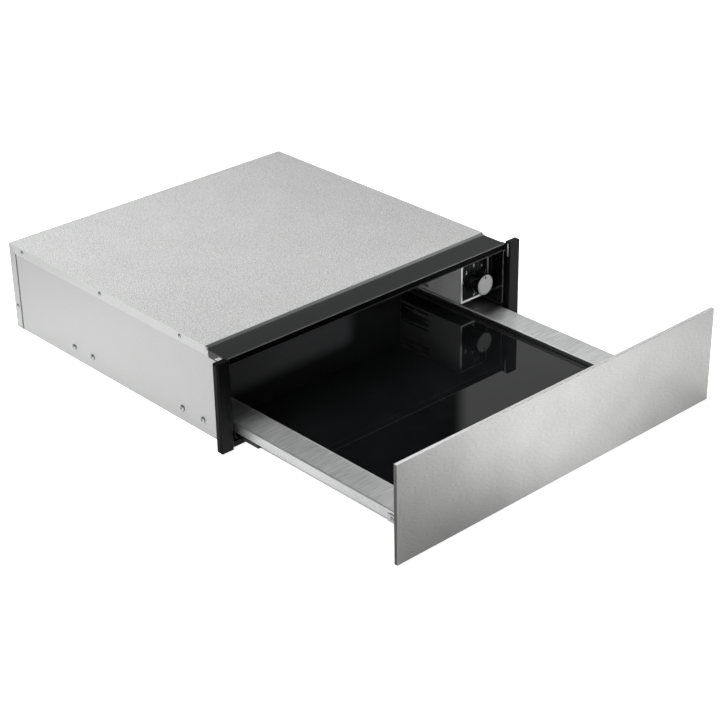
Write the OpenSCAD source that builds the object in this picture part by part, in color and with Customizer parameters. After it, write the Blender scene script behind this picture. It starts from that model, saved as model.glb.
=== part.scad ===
// Built-in warming drawer, shown drawn out.
// x runs across the width, y from the front to the rear, z up.
// The origin lies on the underside, midway across, at the plane of the cabinet front.

/* [Casing] */
// Width over the folded sides of the top cover
case_w = 525; // [500:1:560]
// Height from the underside to the top of the cover
case_h = 138; // [132:1:160]
// Depth behind the cabinet front
case_d = 509.5; // [490:1:560]
// Thickness of the galvanised sheet
sheet = 0.8; // [0.6:0.1:1.2]
// Height of the folds of the cover and the rear panel
fold_h = 14; // [10:1:18]
// Space between the top cover and the inner ceiling
roof_gap = 10.4; // [8:0.2:14]

/* [Front frame] */
// Depth of the black band in front of the cover
band_d = 43.5; // [34:1:60]
// Step from the cover down to the band
band_drop = 3.5; // [2:0.1:6]
// Thickness of the band sheet
band_t = 1; // [0.8:0.1:1.5]
// Height of the turned-down front lip
band_lip = 5; // [3.5:0.1:6]
// Height of the wings at the ends of the band
wing_h = 12; // [8:1:16]
// Width of a side post
post_w = 22; // [16:1:30]
// Thickness of a side post
post_t = 9.2; // [6:0.1:14]
// Gap between the casing and a post
post_gap = 1.6; // [1:0.1:3]
// Height of the foot of a post above the underside
post_foot = 3.2; // [1:0.1:6]
// Radius of the front edges of a post
post_r = 2.5; // [1:0.1:4]
// Height of the sill under the drawer
sill_h = 7; // [4:0.5:8]

/* [Drawer] */
// Distance that the drawer is drawn out
travel = 340; // [300:5:350]
// Gap between front panel and posts when shut
shut_gap = 1.5; // [1.5:0.1:4]
// Width of the front panel
front_w = 594; // [580:1:640]
// Height of the front panel
front_h = 140; // [120:1:160]
// Thickness of the front panel
front_t = 5.5; // [4:0.1:20]
// Height of the panel's lower edge above the underside
front_lift = 1; // [0.5:0.1:4]
// Height of the side rails above the underside
rail_top = 36; // [36:0.5:40]
// Width of the top of a side rail
rail_w = 42.6; // [38:0.2:60]
// Gap between a rail and the casing wall
rail_gap = 6.3; // [4:0.1:8]
// Height of the outer side of a rail
skirt_h = 14; // [11:0.5:14]
// Thickness of the glass base
glass_t = 4; // [3:0.5:6]
// Depth of the glass below the rail top
glass_sink = 7.5; // [6:0.1:9]
// Thickness of the seal on the glass
seal_t = 0.8; // [0.5:0.1:1.5]
// Height of the tray above the underside
tray_lift = 10; // [9.5:0.1:11]
// Clearance between the drawer back and the ceiling
back_clear = 2; // [1:0.5:6]
// Space behind the drawer back when shut
back_room = 5.2; // [4:0.1:10]

/* [Slides] */
// Height of a slide
slide_h = 21; // [19:0.5:22]
// Thickness of the slide steel
slide_t = 1; // [0.8:0.1:1.2]
// Height of the slide above the underside
slide_lift = 12; // [11.9:0.1:13]
// Length of the fixed slide member
slide_l = 456; // [400:1:470]
// Length of a ball cage
cage_l = 196; // [150:1:220]
// Distance that the drawn-out cage stands in front
cage_out = 44.5; // [30:0.5:60]
// Diameter of a ball
ball_d = 3.4; // [2.8:0.1:3.5]
// Balls in one row of a cage
ball_n = 12; // [6:1:16]

/* [Control box] */
// Width of the control box
box_w = 58; // [57:0.2:64]
// Distance of the control box behind the cabinet front
box_set = 26.2; // [24:0.2:30]
// Height of the box above the side rails
box_lift = 10.6; // [6:0.2:11]
// Sheet thickness of the box
box_t = 0.8; // [0.6:0.1:1.5]
// Width of the bright rim around the fascia
box_rim = 3; // [2:0.1:4]
// Thickness of the glass fascia
fascia_t = 3; // [2:0.5:4]
// Diameter of the knob body
knob_d = 33; // [28:0.5:38]
// Diameter of the knob flange
flange_d = 40; // [36:0.5:44]
// Depth of the knob
knob_l = 21.4; // [16:0.2:22]
// Height of the knob centre above the box floor
knob_rise = 29.4; // [26:0.2:32]
// Diameter of the knob spindle
spindle_d = 6; // [5:0.1:8]
// Width of the rocker
rocker_w = 17.2; // [14:0.2:20]
// Height of the rocker
rocker_h = 10.4; // [8:0.2:12]
// Size of the square fan frame
fan_size = 60; // [54:1:64]
// Depth of the fan frame
fan_l = 20; // [16:1:22]
// Louvre slots in the lower group
slot_low_n = 4; // [1:1:4]
// Louvre slots in the upper group
slot_high_n = 2; // [1:1:3]
// Length of a louvre slot
slot_l = 29; // [20:1:29]
// Height of a louvre slot
slot_h = 3; // [2:0.1:5]

/* [Fasteners and inlet] */
// Diameter of a cover screw head
cover_head_d = 5.2; // [4:0.1:7]
// Diameter of a runner screw head
runner_head_d = 7.4; // [6:0.1:9]
// Diameter of the screw shanks
shank_d = 3.4; // [2.5:0.1:3.8]
// Diameter of the hole for the supply cord
cord_d = 7.5; // [6:0.1:9]
// Diameter of the wiring conduit inside the casing
loom_d = 8; // [6:0.5:10]

/* [Hidden] */
$fn = 48;

// Clearances
fit = 0.05;
loose = 0.3;
cut = 1;

// Casing faces, as distances from the middle or the underside
cover_x = case_w / 2;
shell_x = cover_x - sheet;
wall_x = shell_x - sheet;
liner_x = wall_x - sheet;
rear_y = case_d;
inner_rear_y = rear_y - sheet;
cover_z = case_h;
roof_z = case_h - sheet;
band_z = case_h - band_drop;
ceiling_z = roof_z - roof_gap;
mitre_gap = 0.8;
rear_fold = 14.5;
seam_w = 1.6;
hem_h = 2.5;
post_x0 = cover_x + post_gap;
post_x1 = post_x0 + post_w;
post_y0 = -sheet - post_t;
post_drop = 0.6;
post_z1 = case_h - post_drop;
flange_inset = 2;
corner_w = 6;
flange_foot = 5;
liner_foot = 2;
liner_z = rail_top + liner_foot;
liner_y1 = inner_rear_y - rear_fold + sheet;
sill_d = 12;
insulation_gap = 5;

// Drawer faces when it is drawn out
panel_y1 = post_y0 - shut_gap - travel;
panel_y0 = panel_y1 - front_t;
back_t = 1;
back_y1 = inner_rear_y - back_room - travel;
back_y0 = back_y1 - back_t;
tray_set = 14;
tray_y1 = back_y1 - tray_set;
rail_x1 = wall_x - rail_gap;
rail_x0 = rail_x1 - rail_w;
rail_under = rail_top - sheet;
glass_z1 = rail_top - glass_sink;
glass_z0 = glass_z1 - glass_t;
glass_lap = 4;
glass_x = rail_x0 + glass_lap;
glass_y0 = panel_y1 + sheet + loose;
glass_y1 = back_y0;
seal_in = 1;
seal_end = 3;

// Slides
slide_play = 0.8;
slide_x1 = rail_x1 - sheet - slide_play;
slide_w = 8.8;
slide_x0 = slide_x1 - slide_w;
slide_z0 = slide_lift;
slide_z1 = slide_z0 + slide_h;
slide_y0 = 2;
tray_x = slide_x0;
track_z0 = slide_z0 + slide_t;
track_z1 = slide_z1 - slide_t;
ball_gap = ball_d + 2 * loose;
cage_t = 0.6;
cage_play = 0.4;
cage_y0 = -cage_out;
ball_end = 7;
ball_step = (cage_l - 2 * ball_end) / (ball_n - 1);
bracket_t = 1.5;
bracket_l = 60;
bracket_h = 16;
inner_lead = 4;

// Control box
box_gap = 2;
box_x1 = liner_x - box_gap;
box_x0 = box_x1 - box_w;
box_y0 = box_set;
box_clear = 5.5;
box_y1 = back_y0 - box_clear;
box_z0 = rail_top + box_lift;
box_z1 = ceiling_z;
fascia_y0 = box_y0 + box_t;
fascia_y1 = fascia_y0 + fascia_t;
knob_x = box_x0 + box_w / 2;
knob_z = box_z0 + knob_rise;
knob_gap = 0.6;
knob_back = fascia_y0 - knob_gap;
knob_front = knob_back - knob_l;
knob_flange_t = 2.4;
knob_edge = 0.8;
cap_t = 1;
cap_rim = 0.8;
cap_r = knob_d / 2 - cap_rim;
spindle_r = spindle_d / 2;
bush_wall = 2;
bush_r = spindle_r + bush_wall;
bush_hole_r = bush_r + loose;
regulator_w = 38;
regulator_d = 30;
regulator_drop = 3;
spindle_in = 18;
spindle_y1 = fascia_y1 + spindle_in;
rocker_drop = 10.5;
rocker_x = knob_x + 3;
rocker_z = box_z1 - rocker_drop;
bezel = 1.2;
bezel_t = 1.2;
switch_wall = 0.9;
switch_d = 20;
pin_r = 1;
pin_in = 2;
rocker_y = fascia_y1 + pin_in;
rocker_out = 2;
rocker_reach = rocker_y - fascia_y0 + rocker_out;
rocker_in = 5;
rocker_dip = 0.8;
rocker_play = 0.7;
switch_room = 1;
rocker_side = 0.3;
rocker_lean = 6;

// Hot air unit inside the control box
duct_wall = 3;
heater_gap = 2;
heater_l = 8;
heater_x0 = box_x0 + box_t + heater_gap;
fan_x0 = heater_x0 + heater_l;
fan_x1 = fan_x0 + fan_l;
unit_gap = 1.5;
fan_y1 = box_y1 - box_t - unit_gap;
fan_y0 = fan_y1 - fan_size;
fan_z0 = box_z0 + box_t;
fan_z1 = fan_z0 + fan_size;
fan_y = (fan_y0 + fan_y1) / 2;
fan_z = (fan_z0 + fan_z1) / 2;
duct_r = fan_size / 2 - duct_wall;
hub_r = 11;
blade_n = 7;
blade_t = 1.2;
blade_clear = 1.5;
axle_in = 6;
motor_r = 12;
motor_l = 9;
strut_w = 4;
strut_t = 2;
ring_t = 2;
blade_lean = 35;
axle_r = 1;
fin_n = 9;
fin_t = 0.8;
cutout_r = 6;
cutout_l = 7;

// Supply side
junction_x1 = liner_x;
junction_w = 44;
junction_x0 = junction_x1 - junction_w;
junction_y1 = inner_rear_y;
junction_d = 36;
junction_y0 = junction_y1 - junction_d;
junction_h = 50;
junction_z1 = ceiling_z;
junction_z0 = junction_z1 - junction_h;
junction_t = 2;
gland_edge = 18;
gland_wall = 2;
gland_lip = 2;
gland_x = junction_x0 + gland_edge;
gland_z = junction_z0 + gland_edge;
gland_r = cord_d / 2 + gland_wall + gland_lip;
gland_l = 12;
gland_thread_r = cord_d / 2 + gland_wall;
gland_nut = 4;
loom_in = 1.2;
loom_rise = 36;
loom_x = box_x1 - box_t - loom_in - loom_d / 2;
loom_z = junction_z0 + loom_rise;
loom_end = 3;
terminal_rise = 28;
terminal_gap = 1;
clip_n = 3;
clip_w = 10;
clip_t = 1;
clip_tail = 9;

// Push latch at the rear
latch_w = 26;
latch_h = 16;
latch_push = 2;
latch_z0 = sheet;
latch_z1 = latch_z0 + latch_h;
latch_gap = 3;
latch_y0 = tray_y1 + travel + latch_gap;
latch_y1 = inner_rear_y;
plunger_r = 3.5;
plunger_drop = 5;
plunger_z = latch_z1 - plunger_drop;
plunger_out = 2;
plunger_in = 8;
striker_w = 16;
striker_h = 9;
striker_t = 0.7;

// Front panel fixings
core_play = 0.2;
skin_t = 1;
tab_l = 55;
tab_h = 11;
tab_t = 1.5;
tab_drop = 2.5;
foot_w = 8.2;
tab_screw_in = 47;
tab_screw_y = panel_y1 + tab_screw_in;
tab_head = 1;
bumper_r = 4;
bumper_t = 1.2;
bumper_edge = 21.9;
bumper_foot = 0.5;
bumper_head = 15;

// Places of screws
cover_screw_shares = [0.12, 0.51, 0.926];
rear_screw_share = 0.268;
runner_first = 58.8;
runner_pitch = 45.3;
runner_span = 255;
runner_rise = 7.7;
runner_screw_z = slide_z0 + runner_rise;
runner_bracket_ys = [for (k = [0, 1]) runner_first + runner_pitch / 2 + k * runner_span];
runner_screw_ys = [for (y = runner_bracket_ys, side = [-1, 1]) y + side * runner_pitch / 2];
cover_screw_drop = 5.5;
head_h = 1.4;
runner_head_h = 2.8;
runner_head_edge = 0.8;
shank_l = 5;
shank_r = shank_d / 2;
hole_r = shank_r + fit;

// A box between two corners
module slab(a, b) {
    translate(a) cube(b - a);
}

// A pair, left and right
module pair() {
    children();
    mirror([1, 0, 0]) children();
}

// An outline in y and z, drawn between two x
module across(x0, x1) {
    translate([x0, 0, 0]) rotate([90, 0, 90]) linear_extrude(x1 - x0) children();
}

// An outline in x and z, drawn between two y
module along(y0, y1) {
    translate([0, y1, 0]) rotate([90, 0, 0]) linear_extrude(y1 - y0) children();
}

// A rod along x
module rod_x(r, x0, x1, y, z) {
    translate([x0, y, z]) rotate([0, 90, 0]) cylinder(r = r, h = x1 - x0);
}

// A rod along y
module rod_y(r, y0, y1, x, z) {
    translate([x, y1, z]) rotate([90, 0, 0]) cylinder(r = r, h = y1 - y0);
}

// A screw in the right side of the casing, its head outwards
module side_screw(head_r, head_t, face_x, y, z) {
    rod_x(head_r, face_x, face_x + head_t, y, z);
    rod_x(shank_r, face_x - shank_l, face_x + head_t / 2, y, z);
}

function cover_screw_y(share) = band_d + share * (rear_y - band_d);
cover_screw_z = case_h - cover_screw_drop;
rear_screw_z = rear_screw_share * case_h;
rear_screw_y = rear_y - rear_fold / 2;

// Holes for the screws in the sides
module cover_holes() {
    for (s = cover_screw_shares)
        rod_x(hole_r, wall_x - cut, cover_x + cut, cover_screw_y(s), cover_screw_z);
}

module rear_holes() {
    rod_x(hole_r, wall_x - cut, cover_x + cut, rear_screw_y, rear_screw_z);
}

module runner_holes() {
    for (y = runner_screw_ys) rod_x(hole_r, liner_x - cut - bracket_t, cover_x + cut, y, runner_screw_z);
}

// Floor and side walls, folded from one sheet, with flanges behind the posts
module casing_shell() {
    color("silver") difference() {
        union() {
            slab([-shell_x, -sheet, 0], [shell_x, inner_rear_y, sheet]);
            pair() {
                slab([wall_x, band_d, 0], [shell_x, inner_rear_y, roof_z]);
                slab([wall_x, -sheet, 0], [shell_x, band_d, band_z - band_t]);
                slab([wall_x, -sheet, flange_foot], [post_x1 - flange_inset, 0, band_z - wing_h]);
            }
        }
        pair() {
            cover_holes();
            rear_holes();
            runner_holes();
            slab([wall_x - cut, rear_y - rear_fold - seam_w, sheet],
                [shell_x + cut, rear_y - rear_fold, cover_z - fold_h]);
        }
    }
}

// Cover with folded sides, mitred at the rear, and a turned-down front edge
module top_cover() {
    color("gainsboro") difference() {
        union() {
            slab([-cover_x, band_d, roof_z], [cover_x, rear_y, cover_z]);
            slab([-wall_x, band_d, band_z], [wall_x, band_d + sheet, roof_z]);
            pair() across(shell_x, cover_x) polygon([
                [band_d, cover_z], [rear_y, cover_z],
                [rear_y - rear_fold, cover_z - fold_h], [band_d, cover_z - fold_h]
            ]);
        }
        pair() cover_holes();
    }
}

module rear_panel() {
    color("silver") difference() {
        union() {
            slab([-shell_x, inner_rear_y, 0], [shell_x, rear_y, roof_z]);
            pair() across(shell_x, cover_x) polygon([
                [rear_y - rear_fold, 0], [rear_y, 0],
                [rear_y, cover_z - mitre_gap], [rear_y - rear_fold, cover_z - fold_h - mitre_gap]
            ]);
        }
        pair() rear_holes();
        rod_y(gland_thread_r + fit, inner_rear_y - cut, rear_y + cut, gland_x, gland_z);
    }
}

module cover_screws() {
    color("dimgray") pair() for (s = cover_screw_shares)
        side_screw(cover_head_d / 2, head_h, cover_x, cover_screw_y(s), cover_screw_z);
}

module rear_screws() {
    color("dimgray") pair()
        side_screw(cover_head_d / 2, head_h, cover_x, rear_screw_y, rear_screw_z);
}

// Black band over the opening, with a front lip and a wing at each end
module front_band() {
    wing_x = shell_x + band_t;
    lip_y = -sheet - band_t;
    color("#2a2b2b") union() {
        slab([-wing_x, lip_y, band_z - band_t], [wing_x, band_d, band_z]);
        slab([-wall_x, lip_y, band_z - band_lip], [wall_x, -sheet, band_z - band_t]);
        pair() slab([shell_x, 0, band_z - wing_h], [wing_x, band_d - corner_w, band_z - band_t]);
    }
}

// Small folded tabs where the cover meets the band
module corner_tabs() {
    color("gainsboro") pair()
        slab([shell_x, band_d - corner_w, cover_z - fold_h], [cover_x, band_d, band_z - band_t]);
}

// An upright rectangle with round corners
module round_rect(w, h, r) {
    union() {
        translate([0, r]) square([w, h - 2 * r]);
        translate([r, 0]) square([w - 2 * r, h]);
        for (x = [r, w - r], y = [r, h - r]) translate([x, y]) circle(r = r);
    }
}

// A post, round at its front edges and at its top and foot
module post() {
    color("#222323") intersection() {
        translate([post_x0, post_y0, post_foot]) linear_extrude(post_z1 - post_foot)
            round_rect(post_w, post_t + post_r, post_r);
        along(post_y0, -sheet) translate([post_x0, post_foot])
            round_rect(post_w, post_z1 - post_foot, post_r);
    }
}

module right_post() {
    post();
}

module left_post() {
    mirror([1, 0, 0]) post();
}

// Spring clips that hold the tops of the posts
leg_h = 20;
leg_w = 2;
hook_w = 7;
hook_d = 6;
hook_t = 0.8;
hook_share = 0.25;
module post_clips() {
    hook_x = post_x0 + hook_share * post_w;
    color("gainsboro") {
        pair()
            slab([post_x0 - hook_t, post_y0 + post_r, post_z1 - post_r - leg_h],
                [post_x0, post_y0 + post_r + leg_w, post_z1 - post_r]);
        mirror([1, 0, 0]) {
            slab([hook_x, -sheet, band_z - wing_h], [hook_x + hook_w, 0, post_z1]);
            slab([hook_x, -sheet, post_z1 - hook_t], [hook_x + hook_w, hook_d, post_z1]);
        }
    }
}

module front_sill() {
    color("#1c1d1d") union() {
        slab([-wall_x, 0, sheet], [wall_x, band_t, sheet + sill_h]);
        slab([-wall_x, 0, sheet], [wall_x, sill_d, sheet + band_t]);
    }
}

// Black inner ceiling with a hem that shows under the lip
module liner_top() {
    color("#202121") union() {
        slab([-wall_x, 0, ceiling_z], [wall_x, inner_rear_y, ceiling_z + sheet]);
        slab([-wall_x, 0, ceiling_z], [wall_x, sheet, ceiling_z + sheet + hem_h]);
    }
}

module liner() {
    color("#202121") slab([liner_x, -sheet, liner_z], [wall_x, liner_y1, ceiling_z]);
}

module liner_right() {
    liner();
}

module liner_left() {
    mirror([1, 0, 0]) liner();
}

module top_insulation() {
    color("khaki") slab([-wall_x + insulation_gap, band_d + insulation_gap, ceiling_z + sheet],
        [wall_x - insulation_gap, inner_rear_y - insulation_gap, roof_z - loose]);
}

// Fixed member of a slide, a channel open towards the drawer
module slide_outer() {
    color("lightgray") union() {
        slab([slide_x1 - slide_t, slide_y0, slide_z0], [slide_x1, slide_y0 + slide_l, slide_z1]);
        for (z = [slide_z0, track_z1])
            slab([slide_x0 + slide_t + loose, slide_y0, z], [slide_x1, slide_y0 + slide_l, z + slide_t]);
    }
}

module slide_outer_right() {
    slide_outer();
}

module slide_outer_left() {
    mirror([1, 0, 0]) slide_outer();
}

// Ball cage, a thin channel with balls along its two edges
module ball_cage() {
    web_x = slide_x1 - slide_t - cage_play;
    lip_x = slide_x0 + slide_t + 2 * loose;
    ball_x = slide_x0 + slide_w / 2 - ball_d / 4;
    color("dimgray") union() {
        slab([web_x - cage_t, cage_y0, track_z0 + cage_play],
            [web_x, cage_y0 + cage_l, track_z1 - cage_play]);
        for (z = [track_z0 + cage_play, track_z1 - cage_play - cage_t])
            slab([lip_x, cage_y0, z], [web_x, cage_y0 + cage_l, z + cage_t]);
        for (i = [0 : ball_n - 1], z = [track_z0 + ball_gap / 2, track_z1 - ball_gap / 2])
            translate([ball_x, cage_y0 + ball_end + i * ball_step, z]) sphere(d = ball_d, $fn = 24);
    }
}

module ball_cage_right() {
    ball_cage();
}

module ball_cage_left() {
    mirror([1, 0, 0]) ball_cage();
}

// Moving member of a slide, a channel fixed to the tray
module slide_inner() {
    z0 = track_z0 + ball_gap;
    z1 = track_z1 - ball_gap;
    lip_x = slide_x0 + slide_w / 2 + loose;
    color("lightgray") union() {
        slab([slide_x0, panel_y1 + inner_lead, z0], [slide_x0 + slide_t, tray_y1, z1]);
        for (z = [z0, z1 - slide_t])
            slab([slide_x0, panel_y1 + inner_lead, z], [lip_x, tray_y1, z + slide_t]);
    }
}

module slide_inner_right() {
    slide_inner();
}

module slide_inner_left() {
    mirror([1, 0, 0]) slide_inner();
}

// Angle brackets that carry the fixed members
module slide_brackets() {
    color("gray") difference() {
        pair() for (y = runner_bracket_ys) {
            slab([wall_x - bracket_t, y - bracket_l / 2, slide_z0 - bracket_t],
                [wall_x, y + bracket_l / 2, slide_z0 - bracket_t + bracket_h]);
            slab([slide_x0 + slide_t + loose, y - bracket_l / 2, slide_z0 - bracket_t],
                [wall_x, y + bracket_l / 2, slide_z0]);
        }
        pair() runner_holes();
    }
}

module runner_screws() {
    color("lightgray") pair() for (y = runner_screw_ys)
        pan_screw(runner_head_d / 2, runner_head_h, y);
}

// A pan head, flat on top with a round edge, and its shank
module pan_screw(r, h, y) {
    rod_x(r, shell_x, shell_x + h - runner_head_edge, y, runner_screw_z);
    rod_x(r - runner_head_edge, shell_x, shell_x + h, y, runner_screw_z);
    rod_x(shank_r, wall_x - bracket_t - fit, shell_x + h / 2, y, runner_screw_z);
}

// Stainless housing of the controls, open at the front, with a rim
louvre_pitch = 9;
louvre_foot = 6.5;
louvre_head = 7;
louvre_bridge = 2;
louvre_end = 3;
module louvres() {
    lows = [for (i = [0 : slot_low_n - 1]) box_z0 + louvre_foot + i * louvre_pitch];
    highs = [for (i = [0 : slot_high_n - 1]) box_z1 - louvre_head - i * louvre_pitch];
    for (z = concat(lows, highs), k = [0, 1])
        translate([0, -k * (slot_l + louvre_bridge), 0])
            slab([box_x0 - cut, box_y1 - louvre_end - slot_l, z - slot_h / 2],
                [box_x0 + box_t + cut, box_y1 - louvre_end, z + slot_h / 2]);
}

module control_housing() {
    color("#8f9090") difference() {
        slab([box_x0, box_y0, box_z0], [box_x1, box_y1, box_z1]);
        slab([box_x0 + box_t, fascia_y0, box_z0 + box_t], [box_x1 - box_t, box_y1 - box_t, box_z1 - box_t]);
        slab([box_x0 + box_rim, box_y0 - cut, box_z0 + box_rim],
            [box_x1 - box_rim, fascia_y0 + cut, box_z1 - box_rim]);
        louvres();
        rod_y(loom_d / 2 + fit, box_y1 - box_t - cut, box_y1 + cut, loom_x, loom_z);
    }
}

// Black glass plate behind the rim
module control_fascia() {
    color("#101112") difference() {
        slab([box_x0 + box_t + fit, fascia_y0, box_z0 + box_t + fit],
            [box_x1 - box_t - fit, fascia_y1, box_z1 - box_t - fit]);
        rod_y(bush_hole_r, fascia_y0 - cut, fascia_y1 + cut, knob_x, knob_z);
        slab([rocker_x - rocker_w / 2 - loose, fascia_y0 - cut, rocker_z - rocker_h / 2 - loose],
            [rocker_x + rocker_w / 2 + loose, fascia_y1 + cut, rocker_z + rocker_h / 2 + loose]);
    }
}

// Energy regulator behind the knob, with its bush
module regulator() {
    w = regulator_w / 2;
    color("ivory") difference() {
        union() {
            slab([knob_x - w, fascia_y1, knob_z - w + regulator_drop],
                [knob_x + w, fascia_y1 + regulator_d, knob_z + w - regulator_drop]);
            rod_y(bush_r, fascia_y0, fascia_y1 + cut, knob_x, knob_z);
        }
        rod_y(spindle_r + fit, fascia_y0 - cut, spindle_y1 + loose, knob_x, knob_z);
    }
}

module knob_spindle() {
    color("silver") rod_y(spindle_r, knob_front + 2 * cap_t + loose, spindle_y1, knob_x, knob_z);
}

// Black knob with a flange at its back and a recess for the cap
module knob() {
    color("#151616") translate([knob_x, knob_back, knob_z]) rotate([90, 0, 0]) difference() {
        rotate_extrude() polygon([
            [0, 0], [flange_d / 2 - knob_edge, 0], [flange_d / 2, knob_flange_t / 2],
            [flange_d / 2 - knob_edge, knob_flange_t], [knob_d / 2, knob_flange_t + knob_edge],
            [knob_d / 2, knob_l - cap_t / 2], [knob_d / 2 - cap_t / 2, knob_l], [0, knob_l]
        ]);
        translate([0, 0, knob_l - cap_t]) cylinder(r = cap_r + fit, h = cap_t + cut);
        translate([0, 0, -cut]) cylinder(r = spindle_r + fit, h = knob_l - 2 * cap_t + cut);
    }
}

// Turned metal cap with a pointer notch
pointer_w = 2;
pointer_l = 4.4;
pointer_r = 11.8;
module knob_cap() {
    color("silver") difference() {
        rod_y(cap_r, knob_front - cap_t / 2, knob_front + cap_t, knob_x, knob_z);
        slab([knob_x - pointer_w / 2, knob_front - cut, knob_z + pointer_r - pointer_l / 2],
            [knob_x + pointer_w / 2, knob_front, knob_z + pointer_r + pointer_l / 2]);
    }
}

// Switch body with its bezel in front of the fascia
module switch_body() {
    w = rocker_w / 2 + loose;
    h = rocker_h / 2 + loose;
    color("#18191a") difference() {
        union() {
            slab([rocker_x - w - bezel, fascia_y0 - bezel_t, rocker_z - h - bezel],
                [rocker_x + w + bezel, fascia_y0, rocker_z + h + bezel]);
            slab([rocker_x - w, fascia_y0 - bezel_t, rocker_z - h],
                [rocker_x + w, fascia_y1 + switch_d, rocker_z + h]);
        }
        slab([rocker_x - w + switch_wall, fascia_y0 - bezel_t - cut, rocker_z - h + switch_wall],
            [rocker_x + w - switch_wall, rocker_y + rocker_in + switch_room, rocker_z + h - switch_wall]);
        translate([rocker_x, rocker_y, rocker_z - h - cut]) cylinder(r = pin_r + fit, h = 2 * h + 2 * cut);
    }
}

module rocker_pin() {
    h = rocker_h / 2 + loose;
    color("silver") translate([rocker_x, rocker_y, rocker_z - h]) cylinder(r = pin_r, h = 2 * h);
}

// Rocker with a bent face, turning on the upright pin and pressed at its right end
module rocker() {
    w = rocker_w / 2 - switch_wall - rocker_play;
    h = rocker_h / 2 + loose - switch_wall - rocker_side;
    color("#3a3b3c") translate([rocker_x, rocker_y, rocker_z - h]) rotate([0, 0, rocker_lean])
        difference() {
            linear_extrude(2 * h) polygon([
                [-w, -rocker_reach], [0, -rocker_reach + rocker_dip], [w, -rocker_reach],
                [w, 0], [w / 2, rocker_in], [-w / 2, rocker_in], [-w, 0]
            ]);
            translate([0, 0, -cut]) cylinder(r = pin_r + fit, h = 2 * h + 2 * cut);
        }
}

// Square frame with a round duct and three struts to the motor
module fan_frame() {
    color("#2b2c2d") union() {
        difference() {
            slab([fan_x0, fan_y0, fan_z0], [fan_x1, fan_y1, fan_z1]);
            rod_x(duct_r, fan_x0 - cut, fan_x1 + cut, fan_y, fan_z);
        }
        difference() {
            rod_x(motor_r + ring_t, fan_x1 - strut_t, fan_x1, fan_y, fan_z);
            rod_x(motor_r + fit, fan_x1 - strut_t - cut, fan_x1 + cut, fan_y, fan_z);
        }
        for (a = [0 : 120 : 240]) translate([0, fan_y, fan_z]) rotate([a, 0, 0])
            slab([fan_x1 - strut_t, -strut_w / 2, motor_r + ring_t / 2],
                [fan_x1, strut_w / 2, duct_r + ring_t / 2]);
    }
}

module fan_motor() {
    color("dimgray") difference() {
        rod_x(motor_r, fan_x1 - motor_l, fan_x1, fan_y, fan_z);
        rod_x(axle_r + fit, fan_x1 - motor_l - cut, fan_x1 - motor_l + axle_in + loose, fan_y, fan_z);
    }
}

// Hub, blades and axle
module fan_impeller() {
    x1 = fan_x1 - motor_l - loose;
    x0 = fan_x0 + loose;
    color("#3b3c3d") union() {
        rod_x(hub_r, x0, x1, fan_y, fan_z);
        rod_x(axle_r, x1 - cut, fan_x1 - motor_l + axle_in, fan_y, fan_z);
        for (i = [0 : blade_n - 1])
            translate([(x0 + x1) / 2, fan_y, fan_z]) rotate([i * 360 / blade_n, 0, 0])
                translate([0, 0, hub_r - blade_t]) rotate([0, 0, blade_lean])
                    translate([-blade_t / 2, -hub_r / 2, 0])
                        cube([blade_t, hub_r, duct_r - blade_clear - hub_r + blade_t]);
    }
}

// Finned heating block in front of the fan
module heater() {
    pitch = (fan_size - 2 * duct_wall) / (fin_n + 1);
    color("silver") difference() {
        slab([heater_x0, fan_y0, fan_z0], [fan_x0, fan_y1, fan_z1]);
        for (i = [0 : fin_n]) {
            y = fan_y0 + duct_wall + i * pitch;
            slab([heater_x0 - cut, y + fin_t / 2, fan_z0 + duct_wall],
                [fan_x0 + cut, y + pitch - fin_t / 2, fan_z1 - duct_wall]);
        }
    }
}

module thermal_cutout() {
    color("silver") translate([heater_x0 + cutout_r, fan_y, fan_z1]) cylinder(r = cutout_r, h = cutout_l);
}

// Plastic box for the supply terminals
module junction_box() {
    t = junction_t;
    color("#2b2c2d") difference() {
        slab([junction_x0, junction_y0, junction_z0], [junction_x1, junction_y1, junction_z1]);
        slab([junction_x0 + t, junction_y0 + t, junction_z0 + t],
            [junction_x1 - t, junction_y1 - t, junction_z1 - t]);
        rod_y(gland_thread_r + fit, junction_y1 - t - cut, junction_y1 + cut, gland_x, gland_z);
        rod_y(loom_d / 2 + fit, junction_y0 - cut, junction_y0 + t + cut, loom_x, loom_z);
    }
}

module terminal_block() {
    t = junction_t;
    color("ivory") slab([junction_x0 + 2 * t, junction_y0 + 2 * t, junction_z0 + terminal_rise],
        [loom_x - loom_d / 2 - terminal_gap, junction_y1 - 2 * t, junction_z1 - t]);
}

// Gland with the hole for the cord
module cord_gland() {
    color("#1c1d1d") difference() {
        union() {
            rod_y(gland_r, rear_y, rear_y + gland_l, gland_x, gland_z);
            rod_y(gland_thread_r, junction_y1 - junction_t - gland_nut, rear_y + cut, gland_x, gland_z);
            rod_y(gland_r, junction_y1 - junction_t - gland_nut, junction_y1 - junction_t, gland_x, gland_z);
        }
        rod_y(cord_d / 2, junction_y0, rear_y + gland_l + cut, gland_x, gland_z);
    }
}

// Wiring conduit from the junction box to the control box
module loom() {
    y1 = junction_y0 + junction_t + loom_end;
    color("#2b2c2d") rod_y(loom_d / 2, box_y1 - box_t - loom_end, y1, loom_x, loom_z);
}

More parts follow.
